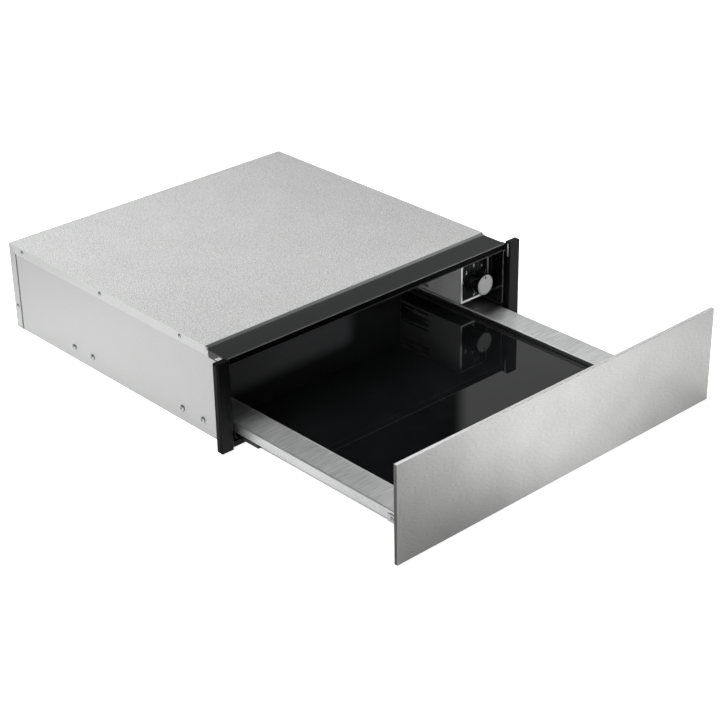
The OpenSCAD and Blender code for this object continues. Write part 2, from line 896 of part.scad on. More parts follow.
// Clips that carry the conduit on the right liner
module loom_clips() {
    step = (junction_y0 - box_y1) / clip_n;
    r = loom_d / 2;
    color("gainsboro") for (i = [0 : clip_n - 1]) {
        y0 = box_y1 + (i + 1 / 2) * step - clip_w / 2;
        difference() {
            union() {
                rod_y(r + clip_t, y0, y0 + clip_w, loom_x, loom_z);
                slab([loom_x, y0, loom_z - r - clip_t], [liner_x, y0 + clip_w, loom_z - r]);
                slab([liner_x - clip_t, y0, loom_z - r - clip_tail], [liner_x, y0 + clip_w, loom_z - r]);
            }
            rod_y(r + fit, y0 - cut, y0 + clip_w + cut, loom_x, loom_z);
        }
    }
}

// Push latch on the floor behind the tray
module latch_body() {
    color("whitesmoke") difference() {
        slab([-latch_w / 2, latch_y0, latch_z0], [latch_w / 2, latch_y1, latch_z1]);
        rod_y(plunger_r + fit, latch_y0 - cut, latch_y0 + plunger_in + loose + cut, 0, plunger_z);
    }
}

module latch_plunger() {
    color("gray") rod_y(plunger_r, latch_y0 - plunger_out, latch_y0 + plunger_in - latch_push, 0, plunger_z);
}

// Steel tray under the glass
module drawer_tray() {
    color("gray") difference() {
        slab([-tray_x, panel_y1, tray_lift], [tray_x, tray_y1, rail_under]);
        slab([-tray_x + sheet, panel_y1 + sheet, tray_lift + sheet],
            [tray_x - sheet, tray_y1 - sheet, rail_top]);
        slab([-glass_x, tray_y1 - sheet - cut, glass_z0], [glass_x, tray_y1 + cut, rail_top]);
        slab([-glass_x, panel_y1 - cut, glass_z1 + seal_t], [glass_x, panel_y1 + sheet + cut, rail_top]);
    }
}

module tray_board() {
    color("darkkhaki") slab([-glass_x, panel_y1 + sheet, tray_lift + sheet],
        [glass_x, tray_y1 - sheet, glass_z0]);
}

// Black glass base, standing out over the tray to the back
module glass_base() {
    color("#101112") slab([-glass_x, glass_y0, glass_z0], [glass_x, glass_y1, glass_z1]);
}

// Black seal between the glass and the rails
module glass_seal() {
    color("#1a1b1b") pair()
        slab([rail_x0 - seal_in, glass_y0, glass_z1], [glass_x, glass_y1 - seal_end, glass_z1 + seal_t]);
}

// A rail: top, outer side and inner lip folded from one sheet
rail_r = 1.6;
module rail_bend(x, sx) {
    translate([x - sx * rail_r, rail_top - rail_r]) intersection() {
        difference() {
            circle(r = rail_r);
            circle(r = rail_r - sheet);
        }
        translate([sx > 0 ? 0 : -rail_r, 0]) square(rail_r);
    }
}

module rail() {
    color("#b4b6b5") along(panel_y1, back_y1) union() {
        translate([rail_x0 + rail_r, rail_under]) square([rail_w - 2 * rail_r, sheet]);
        translate([rail_x1 - sheet, rail_top - skirt_h]) square([sheet, skirt_h - rail_r]);
        translate([rail_x0, glass_z1 + seal_t]) square([sheet, glass_sink - seal_t - rail_r]);
        rail_bend(rail_x1, 1);
        rail_bend(rail_x0, -1);
    }
}

module right_rail() {
    rail();
}

module left_rail() {
    mirror([1, 0, 0]) rail();
}

// Glossy black back of the drawer, with a foot under the glass
back_foot = 12;
module drawer_back() {
    color("#121314") union() {
        slab([-rail_x0 + fit, back_y0, glass_z0], [rail_x0 - fit, back_y1, ceiling_z - back_clear]);
        slab([-rail_x0 + fit, tray_y1, glass_z0 - back_t], [rail_x0 - fit, back_y1, glass_z0]);
    }
}

// Brushed front, a shallow pan open at the back
module front_panel() {
    w = front_w / 2;
    color("#a8a8a7") difference() {
        slab([-w, panel_y0, front_lift], [w, panel_y1, front_lift + front_h]);
        slab([-w + skin_t, panel_y0 + skin_t, front_lift + skin_t],
            [w - skin_t, panel_y1 + cut, front_lift + front_h - skin_t]);
    }
}

module panel_core() {
    w = front_w / 2 - skin_t - core_play;
    lift = front_lift + skin_t + core_play;
    top = front_lift + front_h - skin_t - core_play;
    color("#2b2c2d") slab([-w, panel_y0 + skin_t, lift], [w, panel_y1, top]);
}

// Angles between the rails and the front panel
module panel_brackets() {
    z0 = rail_top - skirt_h - tab_drop;
    color("gainsboro") difference() {
        pair() {
            slab([rail_x1, panel_y1, z0], [rail_x1 + tab_t, panel_y1 + tab_l, z0 + tab_h]);
            slab([rail_x1, panel_y1, z0], [rail_x1 + foot_w, panel_y1 + tab_t, z0 + tab_h]);
        }
        pair() rod_x(hole_r, rail_x1 - cut, rail_x1 + tab_t + cut, tab_screw_y, z0 + tab_h / 2);
    }
}

module bracket_screws() {
    z0 = rail_top - skirt_h - tab_drop;
    color("lightgray") pair() {
        rod_x(shank_r + tab_head, rail_x1 + tab_t, rail_x1 + 2 * tab_t, tab_screw_y, z0 + tab_h / 2);
        rod_x(shank_r, rail_x1, rail_x1 + 2 * tab_t, tab_screw_y, z0 + tab_h / 2);
    }
}

// Rubber buffers behind the corners of the front panel
module bumpers() {
    x = front_w / 2 - bumper_edge;
    low = front_lift + bumper_foot + bumper_r;
    color("#222323") pair() for (z = [low, front_lift + front_h - bumper_head])
        rod_y(bumper_r, panel_y1, panel_y1 + bumper_t, x, z);
}

module striker() {
    color("gainsboro") slab([-striker_w / 2, tray_y1, plunger_z - striker_h / 2],
        [striker_w / 2, tray_y1 + striker_t, plunger_z + striker_h / 2]);
}

casing_shell();
top_cover();
rear_panel();
cover_screws();
rear_screws();
front_band();
corner_tabs();
left_post();
right_post();
post_clips();
front_sill();
liner_top();
liner_left();
liner_right();
top_insulation();
slide_outer_left();
slide_outer_right();
slide_brackets();
runner_screws();
control_housing();
control_fascia();
regulator();
switch_body();
rocker_pin();
fan_frame();
fan_motor();
heater();
thermal_cutout();
junction_box();
terminal_block();
cord_gland();
loom();
loom_clips();
latch_body();
knob();
knob_cap();
knob_spindle();
rocker();
fan_impeller();
latch_plunger();
ball_cage_left();
ball_cage_right();
drawer_tray();
tray_board();
glass_base();
glass_seal();
left_rail();
right_rail();
drawer_back();
front_panel();
panel_core();
panel_brackets();
bracket_screws();
bumpers();
striker();
slide_inner_left();
slide_inner_right();
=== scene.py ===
import math

import bmesh
import bpy
from bpy.props import FloatProperty, FloatVectorProperty, IntProperty, PointerProperty
from mathutils import Euler, Matrix, Vector


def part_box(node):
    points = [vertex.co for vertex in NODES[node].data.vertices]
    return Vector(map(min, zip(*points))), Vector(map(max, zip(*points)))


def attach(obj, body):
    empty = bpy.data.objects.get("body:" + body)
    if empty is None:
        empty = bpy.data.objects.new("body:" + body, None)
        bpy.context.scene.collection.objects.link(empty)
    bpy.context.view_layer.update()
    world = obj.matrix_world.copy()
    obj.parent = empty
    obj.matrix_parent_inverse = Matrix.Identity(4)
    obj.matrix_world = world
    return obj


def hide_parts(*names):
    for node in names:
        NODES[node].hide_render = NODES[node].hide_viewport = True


bl_info = {
    "name": "Warming Drawer",
    "version": (1, 0, 0),
    "blender": (4, 5, 0),
    "location": "3D Viewport > Sidebar > Drawer",
    "description": "Finishes a built-in warming drawer in sheet steel, black glass and plastic",
    "category": "Object",
}

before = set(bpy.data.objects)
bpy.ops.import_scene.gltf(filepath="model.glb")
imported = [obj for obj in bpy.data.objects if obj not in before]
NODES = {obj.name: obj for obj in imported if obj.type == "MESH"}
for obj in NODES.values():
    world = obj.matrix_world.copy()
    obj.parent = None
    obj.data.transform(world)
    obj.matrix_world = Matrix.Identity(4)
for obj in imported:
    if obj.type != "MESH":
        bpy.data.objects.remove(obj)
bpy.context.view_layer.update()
MM = 0.001


# Colours and nodes

def linear(code, alpha=1.0):
    """Turns an sRGB hex value into Blender's linear colour."""
    parts = [int(code[i:i + 2], 16) / 255 for i in (1, 3, 5)]
    return tuple(p / 12.92 if p <= 0.04045 else ((p + 0.055) / 1.055) ** 2.4 for p in parts) + (alpha,)


def add(tree, kind, settings=None, sockets=None):
    """Adds one node with its settings, and fills its sockets or links them to sockets or whole nodes."""
    new = tree.nodes.new(kind)
    for name, value in (settings or {}).items():
        setattr(new, name, value)
    for key, value in (sockets or {}).items():
        if isinstance(value, bpy.types.Node):
            value = value.outputs[0]
        if isinstance(value, bpy.types.NodeSocket):
            tree.links.new(value, new.inputs[key])
        else:
            new.inputs[key].default_value = value
    return new


# Settings

def colour(label, text, code):
    return FloatVectorProperty(name=label, description=text, subtype="COLOR", size=4,
                               min=0, max=1, default=linear(code))


def length(label, text, value):
    return FloatProperty(name=label, description=text, default=value, min=0, subtype="DISTANCE",
                         unit="LENGTH")


def level(label, text, value):
    return FloatProperty(name=label, description=text, default=value, min=0)


def turned(label, text, degrees):
    return FloatProperty(name=label, description=text, subtype="ANGLE", default=math.radians(degrees))


class DrawerFinish(bpy.types.PropertyGroup):
    """Sizes and colours of the finishes."""
    sheet_dark: colour("Sheet, darker flecks", "Zinc sheet between its bright flecks", "#b4b5b4")
    sheet_light: colour("Sheet, bright flecks", "Brightest flecks of the zinc sheet", "#e6e7e6")
    band_tone: colour("Front band", "Powder coat of the band over the opening", "#222323")
    post_tone: colour("Posts", "Powder coat of the side posts", "#0b0c0c")
    enamel_tone: colour("Inner walls", "Glossy black of the walls inside", "#0d0e10")
    front_dark: colour("Front panel, dark strokes", "Darker strokes of the brushed front", "#8f8f8e")
    front_light: colour("Front panel, light strokes", "Lighter strokes of the brushed front", "#bdbdbc")
    rail_dark: colour("Rails, dark strokes", "Darker strokes of the brushed rails", "#a4a6a5")
    rail_light: colour("Rails, light strokes", "Lighter strokes of the brushed rails", "#e2e4e3")
    box_tone: colour("Control box", "Satin steel of the control box", "#c6c7c6")
    glass_tone: colour("Glass", "Black of the glass base", "#0e0f10")
    mark_tone: colour("Dial marks", "Pale print on the fascia", "#a4a5a5")
    fleck: length("Fleck size", "Width of a fleck of the zinc sheet", 1.7 * MM)
    stroke: length("Stroke width", "Width of a brush stroke on the steel", 0.7 * MM)
    edge: length("Edge radius", "Radius that catches the light on sheet edges", 0.25 * MM)
    recess: length("Screw recess", "Width of the cross recess in a screw head", 0.9 * MM)
    print_size: length("Dial print height", "Height of the numbers round the knob", 7.2 * MM)


class StudioSettings(bpy.types.PropertyGroup):
    """Camera, lamps and floor."""
    azimuth: turned("Camera azimuth", "Turn of the camera about the upright axis", -42.27)
    elevation: turned("Camera elevation", "Height angle of the camera", 27.68)
    roll: turned("Camera roll", "Turn of the camera about its own line of sight", -0.96)
    reach: length("Camera distance", "From the camera to its target", 2.714)
    lens: FloatProperty(name="Lens", description="Focal length on a 36 mm sensor", default=93.39,
                        min=10, max=300)
    target: FloatVectorProperty(name="Camera target", description="Point in the middle of the picture",
                                subtype="TRANSLATION", unit="LENGTH",
                                default=(0.03441, 0.06793, -0.00133))
    key: level("Key lamp", "Power of the soft lamp over the back", 19)
    left: level("Left lamp", "Power of the soft lamp high at the left", 8.8)
    side: level("Side lamp", "Power of the soft lamp at the left front", 1.8)
    card: level("Card", "Power of the small light thrown in at the opening", 0.14)
    back_card: level("Back card", "Power of the narrow light on the drawer's back", 0.25)
    rim: level("Rim lamp", "Power of the low lamp behind the right side", 5)
    ambient: level("Room light", "Even light from all around", 0.06)
    glow: level("Floor glow", "Light that the floor shows to the camera", 0.92)
    haze: level("Floor haze", "Light of the floor in glossy faces", 0.32)
    pale_wall: level("Pale wall", "Glossy light from behind, right of the dark wall", 0.53)
    high_panel: level("High panel", "Glossy light from a panel high at the right", 5.3)
    ceiling: level("Ceiling", "Glossy light from overhead", 1.5)
    front_wall: level("Front wall", "Glossy light from the right front", 0.8)
    far_wall: level("Far wall", "Glossy light from the left and front", 0.4)
    rear_wall: level("Rear wall", "Glossy light from behind at the left", 0.45)


def settings():
    return bpy.context.scene.drawer_finish


def studio():
    return bpy.context.scene.drawer_studio


# Materials

MADE = {}

# Each row: darker and lighter tone, metallic, lowest and highest roughness, width of the grain in mm, and
# what else the surface needs, with lift in mm. A tone or grain that is a word is the setting of that name.
FINISHES = {
    # Hot-dip galvanised sheet: tiny zinc crystals give pale and dark flecks with a soft sheen.
    "galvanised_cover": ("sheet_dark", "sheet_light", 0.35, (0.36, 0.5), "fleck",
                         dict(spread=(0.34, 0.66), lift=0.025, detail=1.0, cloud=0.04)),
    # The same sheet on the walls, where the light falls flat and the flecks hardly show.
    "galvanised_side": ("#b6b7b6", "#c4c5c4", 0.45, (0.4, 0.5), "fleck",
                        dict(lift=0.01, detail=1.5, cloud=0.1)),
    # The cover's folded sides, with faint flecks, painted a little brighter than the wall: a painted sheen
    # where the bend catches the light.
    "galvanised_fold": ("#c4c5c4", "#d0d1d0", 0.45, (0.4, 0.5), 2, dict(lift=0.01, detail=1.5, cloud=0.1)),
    # The cover's slanted front lip, painted darker than the top as painted shade, since it faces down to the
    # band, away from the lamps.
    "galvanised_lip": ("#7c7d7c", "#8e8f8e", 0.35, (0.45, 0.55), 1, dict(cloud=0.04)),
    # Inside of the galvanised walls by the slides, painted dark grey as painted shade, where the walls lie in
    # the dark.
    "dull_zinc_inside": ("#2a2b2c", "#343536", 0.3, (0.4, 0.5), 1, {}),
    # Fine powder coat on steel: semi-matt black with an orange-peel skin of about 0.5 mm.
    "powder_coat_band": ("band_tone", "#2a2b2b", 0.0, (0.36, 0.44), 0.5, dict(lift=0.006, ior=1.4)),
    # Where the coat turns down over the opening: near black with a low sheen, painted shade on a lip that
    # lies in its own shade.
    "powder_coat_lip": ("#040404", "#070707", 0.0, (0.4, 0.5), 0.5, dict(ior=1.1)),
    # A thin grey bar on the front edge of the coated band: a painted highlight.
    "rubbed_powder_edge": ("#626363", "#747575", 0.5, (0.3, 0.4), 4, {}),
    # Folded hem under the band, painted a little lighter than the band's black as a painted sheen on its
    # round.
    "powder_coat_hem": ("#303133", "#38393b", 0.0, (0.3, 0.4), 4, dict(ior=1.3)),
    # The band's coat a little glossier, on the round-edged posts and the sill.
    "powder_coat_post": ("post_tone", "#101111", 0.0, (0.3, 0.38), 0.5, dict(lift=0.005, ior=1.27)),
    # Outer side of the left post, next to the cabinet's edge: a darker, duller black than the post, as
    # painted shade.
    "powder_coat_shade": ("#090a0a", "#0d0e0e", 0.0, (0.36, 0.42), 0.5, dict(ior=1.14)),
    # Glossy black coat of the inner walls: mirrors the controls, with a faint wave.
    "black_enamel": ("enamel_tone", "#121315", 0.0, (0.05, 0.08), 30, {}),
    # Satin coat on the back of the drawer, painted light grey though the coat is black: painted light, which
    # the back card's lamp spreads over it in a soft fade.
    "satin_grey_enamel": ("#8e8f92", "#949598", 0.0, (0.4, 0.45), 40, dict(ior=1.2)),
    # The black coat of the ceiling, satin from the heat above it.
    "satin_black_enamel": ("#4a4b4f", "#4e4f53", 0.0, (0.3, 0.35), 40, dict(ior=1.3)),
    # Cut edges of the stainless and coated sheets, pale and mostly matt: a painted highlight where they face
    # the ceiling light.
    "ground_edge": ("#e4e4e3", "#f2f2f1", 0.3, (0.4, 0.5), 0.6, {}),
    # Folded side edge of the front sheet: brushed steel painted dark, a painted reflection of dark
    # surroundings.
    "dull_edge": ("#454441", "#575653", 0.5, (0.4, 0.5), 0.6, {}),
    # Stainless steel brushed with short strokes along its width, so light spreads up and down. The strokes
    # are drawn some five times as wide as real ones, so that they show.
    "brushed_stainless_front": ("front_dark", "front_light", 1.0, (0.3, 0.4), "stroke",
                                dict(stretch=(7, 1, 1), spread=(0.25, 0.75), lift=0.008, across=0.5,
                                     cloud=0.12)),
    # Stainless steel brushed across each rail, with lines drawn wider than those of the front to show.
    "brushed_stainless_rail": ("rail_dark", "rail_light", 1.0, (0.32, 0.4), "stroke",
                               dict(stretch=(42, 1.4, 1.4), spread=(0.25, 0.75), lift=0.006, across=0.75,
                                    cloud=0.1)),
    # Bright-annealed steel of the box: a soft mirror with hardly any grain.
    "satin_stainless_box": ("box_tone", "#dadbda", 0.2, (0.3, 0.38), 0.6,
                            dict(stretch=(1, 9, 1), cloud=0.15, lift=0.003)),
    # Blank zinc plating on brackets and their screws: bright, with a slightly uneven gloss.
    "zinc_plating": ("#9a9c9d", "#c4c6c7", 1.0, (0.14, 0.28), 0.8, dict(lift=0.01, cloud=0.2)),
    # Passivated zinc of the small sheet clips, tabs and rivets, mottled where the bath left it; its pale grey
    # up to near white, mostly matt, is a painted glint.
    "passivated_zinc": ("#8f9192", "#f0f1f1", 0.3, (0.3, 0.45), 1.6, {}),
    # Oiled zinc of the casing screws: grey, with a sharp highlight.
    "dark_zinc_screws": ("#a2a3a5", "#bcbdbf", 1.0, (0.16, 0.26), 0.6, {}),
    # The steep rim and the recess of a screw head, painted dark grey: painted shade round and inside the
    # head.
    "oiled_screw_rim": ("#2a2b2c", "#3a3b3c", 0.6, (0.3, 0.4), 0.8, {}),
    # Drawn slide steel, painted dark grey as painted shade inside the casing, with lines along the slide.
    "drawn_slide_steel": ("#4b4d4e", "#696b6c", 1.0, (0.26, 0.36), 0.5, dict(stretch=(1, 30, 1), lift=0.004)),
    # Dark grey phosphated steel of the cage strips; on the galvanised slide brackets the same dark grey is
    # painted shade.
    "phosphated_cage": ("#3c3d3e", "#505152", 1.0, (0.3, 0.4), 0.5, {}),
    # Hardened polished balls.
    "polished_ball_steel": ("#c9cbcc", "#dfe1e2", 1.0, (0.06, 0.1), 1, {}),
    # Black soda-lime glass, fire polished: a clear mirror at low angles.
    "black_glass": ("glass_tone", "#131415", 0.0, (0.012, 0.016), 40, dict(ior=1.5)),
    # Glass of the fascia, printed black behind and etched matt against finger marks.
    "etched_black_glass": ("#1a1b1c", "#1e1f20", 0.0, (0.2, 0.24), 40, dict(ior=1.2)),
    # Extruded silicone rubber: deep matt black.
    "silicone_rubber": ("#141515", "#1c1d1d", 0.0, (0.55, 0.7), 0.5, dict(lift=0.01, ior=1.41)),
    # Glass-filled polyamide, moulded with a fine spark-eroded grain.
    "moulded_polyamide": ("#1c1d1e", "#28292a", 0.0, (0.42, 0.55), 0.4, dict(lift=0.02, ior=1.53)),
    # Turned aluminium of the knob's cap: rings too fine to see give a soft fan of light. The second axis
    # of its map is in turns, not metres, so its stretch is large.
    "turned_aluminium": ("#979898", "#c6c7c7", 1.0, (0.26, 0.38), 0.35,
                         dict(stretch=(1, 952.38, 2857.14), spread=(0, 1), lift=0.01, across=0.7,
                              rings=True, grit=0.5)),
    # Phenolic resin of the knob: glossy moulded black with light hand marks.
    "phenolic_knob": ("#060707", "#101111", 0.0, (0.2, 0.28), 6, dict(ior=1.48, cloud=0.3)),
    # Polycarbonate rocker, glossy dark grey.
    "polycarbonate_rocker": ("#3b3c3d", "#434445", 0.0, (0.18, 0.26), 3, dict(ior=1.58)),
    # Urea resin of switch gear and terminals, slightly mottled ivory.
    "urea_resin": ("#d8cfb4", "#e6dfc8", 0.0, (0.35, 0.45), 0.6, dict(lift=0.01, cloud=0.2)),
    # Moulded acetal of the latch: waxy white.
    "moulded_acetal": ("#dcdcda", "#ebebe9", 0.0, (0.35, 0.42), 0.8, dict(ior=1.48)),
    # Blank aluminium of fins and cut-out: soft sheen with fine drawing lines.
    "blank_aluminium": ("#b4b6b9", "#cfd1d4", 1.0, (0.3, 0.42), 0.5, dict(stretch=(8, 1, 1), lift=0.006)),
    # Pressed mineral board: yellow-brown fibres of about a millimetre, quite matt.
    "mineral_board": ("#a3925f", "#cdbd8d", 0.0, (0.85, 0.95), 1.2,
                      dict(stretch=(3, 3, 1), spread=(0.2, 0.8), lift=0.2, detail=5)),
    # Ceramic print fired on the glass: pale grey, fairly matt.
    "ceramic_print": ("mark_tone", "#d8d9d8", 0.0, (0.4, 0.5), 0.3, {}),
}


def new_material(name):
    """An empty node material, kept by its name so that pieces share it."""
    mat = bpy.data.materials.new(name)
    mat.use_nodes = True
    mat.node_tree.nodes.clear()
    MADE[name] = mat
    return mat, mat.node_tree


def tone(code):
    return linear(code) if code.startswith("#") else tuple(getattr(settings(), code))


def finish(name):
    """The material of a name, made from its row when it is first asked for."""
    if name not in MADE:
        dark, light, metallic, gloss, grain, more = FINISHES[name]
        width = getattr(settings(), grain) if isinstance(grain, str) else grain * MM
        surface(name, tone(dark), tone(light), metallic, gloss, width, **more)
    return MADE[name]


def surface(name, dark, light, metallic, gloss, grain, stretch=(1, 1, 1), spread=(0.3, 0.7),
            lift=0.0, across=0.0, cloud=0.0, detail=3.0, ior=1.5, rings=False, grit=0.6):
    """A finish whose fine grain varies its colour and gloss, with a broad faint cloud over it."""
    mat, tree = new_material(name)
    place = add(tree, "ShaderNodeTexCoord").outputs["Object"]
    if rings:
        place = add(tree, "ShaderNodeUVMap", {"uv_map": "Across"})
    fine = add(tree, "ShaderNodeMapping", sockets={
        "Vector": place, "Scale": [1 / (grain * s) for s in stretch]})
    noise = add(tree, "ShaderNodeTexNoise", sockets={
        "Vector": fine, "Scale": 1.0, "Detail": detail, "Roughness": grit})
    shade = add(tree, "ShaderNodeMapRange", sockets={
        "Value": noise, "From Min": spread[0], "From Max": spread[1]})
    broad = add(tree, "ShaderNodeTexNoise", sockets={"Vector": place, "Scale": 14.0, "Detail": 2.0})
    cloudy = add(tree, "ShaderNodeMapRange", sockets={
        "Value": broad, "From Min": 0.3, "From Max": 0.7, "To Min": -cloud, "To Max": cloud})
    mixed = add(tree, "ShaderNodeMath", {"operation": "ADD", "use_clamp": True}, {0: shade, 1: cloudy})
    tint = add(tree, "ShaderNodeMix", {"data_type": "RGBA"}, {0: mixed, 6: dark, 7: light})
    rough = add(tree, "ShaderNodeMapRange", sockets={
        "Value": mixed, "To Min": gloss[0], "To Max": gloss[1]})
    shader = add(tree, "ShaderNodeBsdfPrincipled", sockets={
        "Base Color": tint.outputs[2], "Metallic": metallic, "Roughness": rough, "IOR": ior,
        "Anisotropic": across})
    if across:
        tangent = add(tree, "ShaderNodeTangent", {"direction_type": "UV_MAP", "uv_map": "Across"})
        tree.links.new(tangent.outputs[0], shader.inputs["Tangent"])
    if lift:
        bump = add(tree, "ShaderNodeBump", sockets={
            "Height": noise, "Distance": lift * MM, "Strength": 1.0})
        tree.links.new(bump.outputs[0], shader.inputs["Normal"])
    add(tree, "ShaderNodeOutputMaterial", sockets={"Surface": shader})
    mat.diffuse_color = light


# Shaping

# Edges sharper than this are rounded and shaded as edges; turned and repeated pieces have a lower bound.
SHARP = math.radians(35)
SHARP_TURNED = math.radians(30)
# A face looks mostly along an axis when its normal has more than this share of it.
MOSTLY = 0.8
# Points nearer than this are one point.
SAME = 1e-6


def new_object(name, data):
    obj = bpy.data.objects.new(name, data)
    bpy.context.scene.collection.objects.link(obj)
    return obj


def put(name, mesh, mat):
    """Makes a mesh an object of the scene in one material."""
    mesh.name = name
    mesh.materials.clear()
    mesh.materials.append(finish(mat))
    return new_object(name, mesh)


def from_bmesh(name, bm, mat, smooth=SHARP):
    """Turns a bmesh into a piece, smooth but for the edges sharper than an angle."""
    mesh = bpy.data.meshes.new(name)
    bm.to_mesh(mesh)
    bm.free()
    mesh.shade_smooth()
    mesh.set_sharp_from_angle(angle=smooth)
    return put(name, mesh, mat)


def across_uv(mesh, brush):
    """Writes a UV map whose first axis runs across the brush strokes, in metres."""
    layer = mesh.uv_layers.new(name="Across")
    for face in mesh.polygons:
        n = max(range(3), key=lambda k: abs(face.normal[k]))
        others = [k for k in range(3) if k != n]
        over = [k for k in others if k != brush][0]
        along = [k for k in others if k != over][0]
        for loop in face.loop_indices:
            co = mesh.vertices[mesh.loops[loop].vertex_index].co
            layer.data[loop].uv = (co[over], co[along])


def bake_modifiers(obj):
    """Replaces an object's mesh by what its modifiers make of it."""
    depsgraph = bpy.context.evaluated_depsgraph_get()
    mesh = bpy.data.meshes.new_from_object(obj.evaluated_get(depsgraph), preserve_all_data_layers=True,
                                           depsgraph=depsgraph)
    obj.modifiers.clear()
    obj.data = mesh


def merged_copy(node):
    """A bmesh of a CAD node with its loose triangles joined and its flat faces whole."""
    bm = bmesh.new()
    bm.from_mesh(NODES[node].data)
    bmesh.ops.remove_doubles(bm, verts=bm.verts, dist=SAME)
    bmesh.ops.dissolve_limit(bm, angle_limit=math.radians(0.6), verts=bm.verts, edges=bm.edges)
    return bm


def dress(name, node, body, mat, slot, radius=None, brush=None, steps=2, sides=None):
    """Copies a CAD node, rounds its edges by a radius in mm and lets it stand for the node.

    sides gives faces that look mostly along an axis a material of their own.
    """
    radius = settings().edge if radius is None else radius * MM
    bm = merged_copy(node)
    mesh = bpy.data.meshes.new(name)
    bm.to_mesh(mesh)
    bm.free()
    if "custom_normal" in mesh.attributes:
        mesh.attributes.remove(mesh.attributes["custom_normal"])
    obj = put(name, mesh, mat)
    bevel = obj.modifiers.new("edge", "BEVEL")
    bevel.width, bevel.segments = radius, steps
    bevel.limit_method, bevel.angle_limit = "ANGLE", SHARP
    bevel.use_clamp_overlap = False
    bevel.miter_outer = "MITER_ARC"
    bake_modifiers(obj)
    obj.data.shade_smooth()
    obj.data.set_sharp_from_angle(angle=SHARP)
    flat = obj.modifiers.new("flat", "WEIGHTED_NORMAL")
    flat.mode, flat.weight, flat.keep_sharp = "FACE_AREA", 100, True
    bake_modifiers(obj)
    if brush is not None:
        across_uv(obj.data, brush)
    for axis, other in (sides or {}).items():
        recoat(obj, other, lambda at, way: abs(way[axis]) > MOSTLY)
    return seat(obj, body, slot, node)


def recoat(obj, mat, chosen):
    """Gives the faces that a test on their middle and normal picks another material."""
    obj.data.materials.append(finish(mat))
    for face in obj.data.polygons:
        if chosen(face.center, face.normal):
            face.material_index = len(obj.data.materials) - 1


def seat(obj, body, slot, *nodes):
    """Lets a piece ride on its body and stand for its CAD nodes; the slot is not used."""
    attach(obj, body)
    if nodes:
        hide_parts(*nodes)
    return obj


def coat_node(node, mat):
    """Gives a CAD node that stays a material of its own."""
    obj = NODES[node]
    if not obj.material_slots:
        obj.data.materials.append(None)
    for slot in obj.material_slots:
        slot.material = finish(mat)


def lathe(name, profile, centre, mat, segments):
    """Turns a profile of (radius, distance in front) pairs in mm about an axis along y."""
    bm = bmesh.new()
    rings = []
    for r, d in profile:
        count = segments if r else 1
        turns = [2 * math.pi * k / count for k in range(count)]
        ring = [Vector((r * math.sin(turn), -d, r * math.cos(turn))) for turn in turns]
        rings.append([bm.verts.new(centre + MM * point) for point in ring])
    for one, two in zip(rings, rings[1:]):
        for k in range(segments):
            j = (k + 1) % segments
            corners = [one[k % len(one)], one[j % len(one)], two[j % len(two)], two[k % len(two)]]
            corners = list(dict.fromkeys(corners))
            if len(corners) > 2:
                bm.faces.new(corners)
    bmesh.ops.recalc_face_normals(bm, faces=bm.faces)
    return from_bmesh(name, bm, mat, SHARP_TURNED)


def bar(centre, long, radius, axis):
    """A round bar turned out of the upright about an axis, as a bmesh."""
    bm = bmesh.new()
    verts = bmesh.ops.create_cone(bm, cap_ends=True, segments=12, radius1=radius, radius2=radius,
                                  depth=long)["verts"]
    place = Matrix.Translation(centre) @ Matrix.Rotation(math.radians(90), 4, axis)
    bmesh.ops.transform(bm, matrix=place, verts=verts)
    return bm


def boxes(name, corners, mat, body, slot, *nodes):
    """A piece of closed boxes, each between two corners."""
    bm = bmesh.new()
    for one, two in corners:
        low = [min(a, b) for a, b in zip(one, two)]
        high = [max(a, b) for a, b in zip(one, two)]
        for vert in bmesh.ops.create_cube(bm, size=1.0)["verts"]:
            vert.co = Vector([low[k] if vert.co[k] < 0 else high[k] for k in range(3)])
    return seat(from_bmesh(name, bm, mat), body, slot, *nodes)


# Geometry nodes

def new_tree(name, inputs):
    """A Geometry Nodes tree with a geometry input, named inputs and a geometry output."""
    tree = bpy.data.node_groups.new(name, "GeometryNodeTree")
    tree.interface.new_socket("Geometry", in_out="INPUT", socket_type="NodeSocketGeometry")
    for label, kind, value in inputs:
        socket = tree.interface.new_socket(label, in_out="INPUT", socket_type="NodeSocket" + kind)
        if value is not None:
            socket.default_value = value
    tree.interface.new_socket("Geometry", in_out="OUTPUT", socket_type="NodeSocketGeometry")
    return tree, add(tree, "NodeGroupInput").outputs


def end_tree(tree, instances, mat):
    """Closes a tree: real geometry in one material."""
    real = add(tree, "GeometryNodeRealizeInstances", sockets={0: instances})
    done = add(tree, "GeometryNodeSetMaterial", sockets={"Geometry": real, "Material": mat})
    add(tree, "NodeGroupOutput", sockets={0: done})


def grow(name, places, tree, values, mat, turns=None):
    """Runs a tree on points and keeps the result as a plain mesh."""
    mesh = bpy.data.meshes.new(name)
    mesh.from_pydata([tuple(p) for p in places], [], [])
    if turns:
        layer = mesh.attributes.new("turn", "FLOAT_VECTOR", "POINT")
        for k, turn in enumerate(turns):
            layer.data[k].vector = turn
    obj = new_object(name, mesh)
    modifier = obj.modifiers.new("grow", "NODES")
    modifier.node_group = tree
    for item in tree.interface.items_tree:
        if item.item_type == "SOCKET" and item.in_out == "INPUT":
            if item.name == "Material":
                modifier[item.identifier] = finish(mat)
            elif item.name in values:
                modifier[item.identifier] = values[item.name]
    bake_modifiers(obj)
    obj.name = name
    obj.data.shade_smooth()
    obj.data.set_sharp_from_angle(angle=SHARP_TURNED)
    if not obj.data.polygons:
        raise RuntimeError(f"{name} came out empty")
    return obj


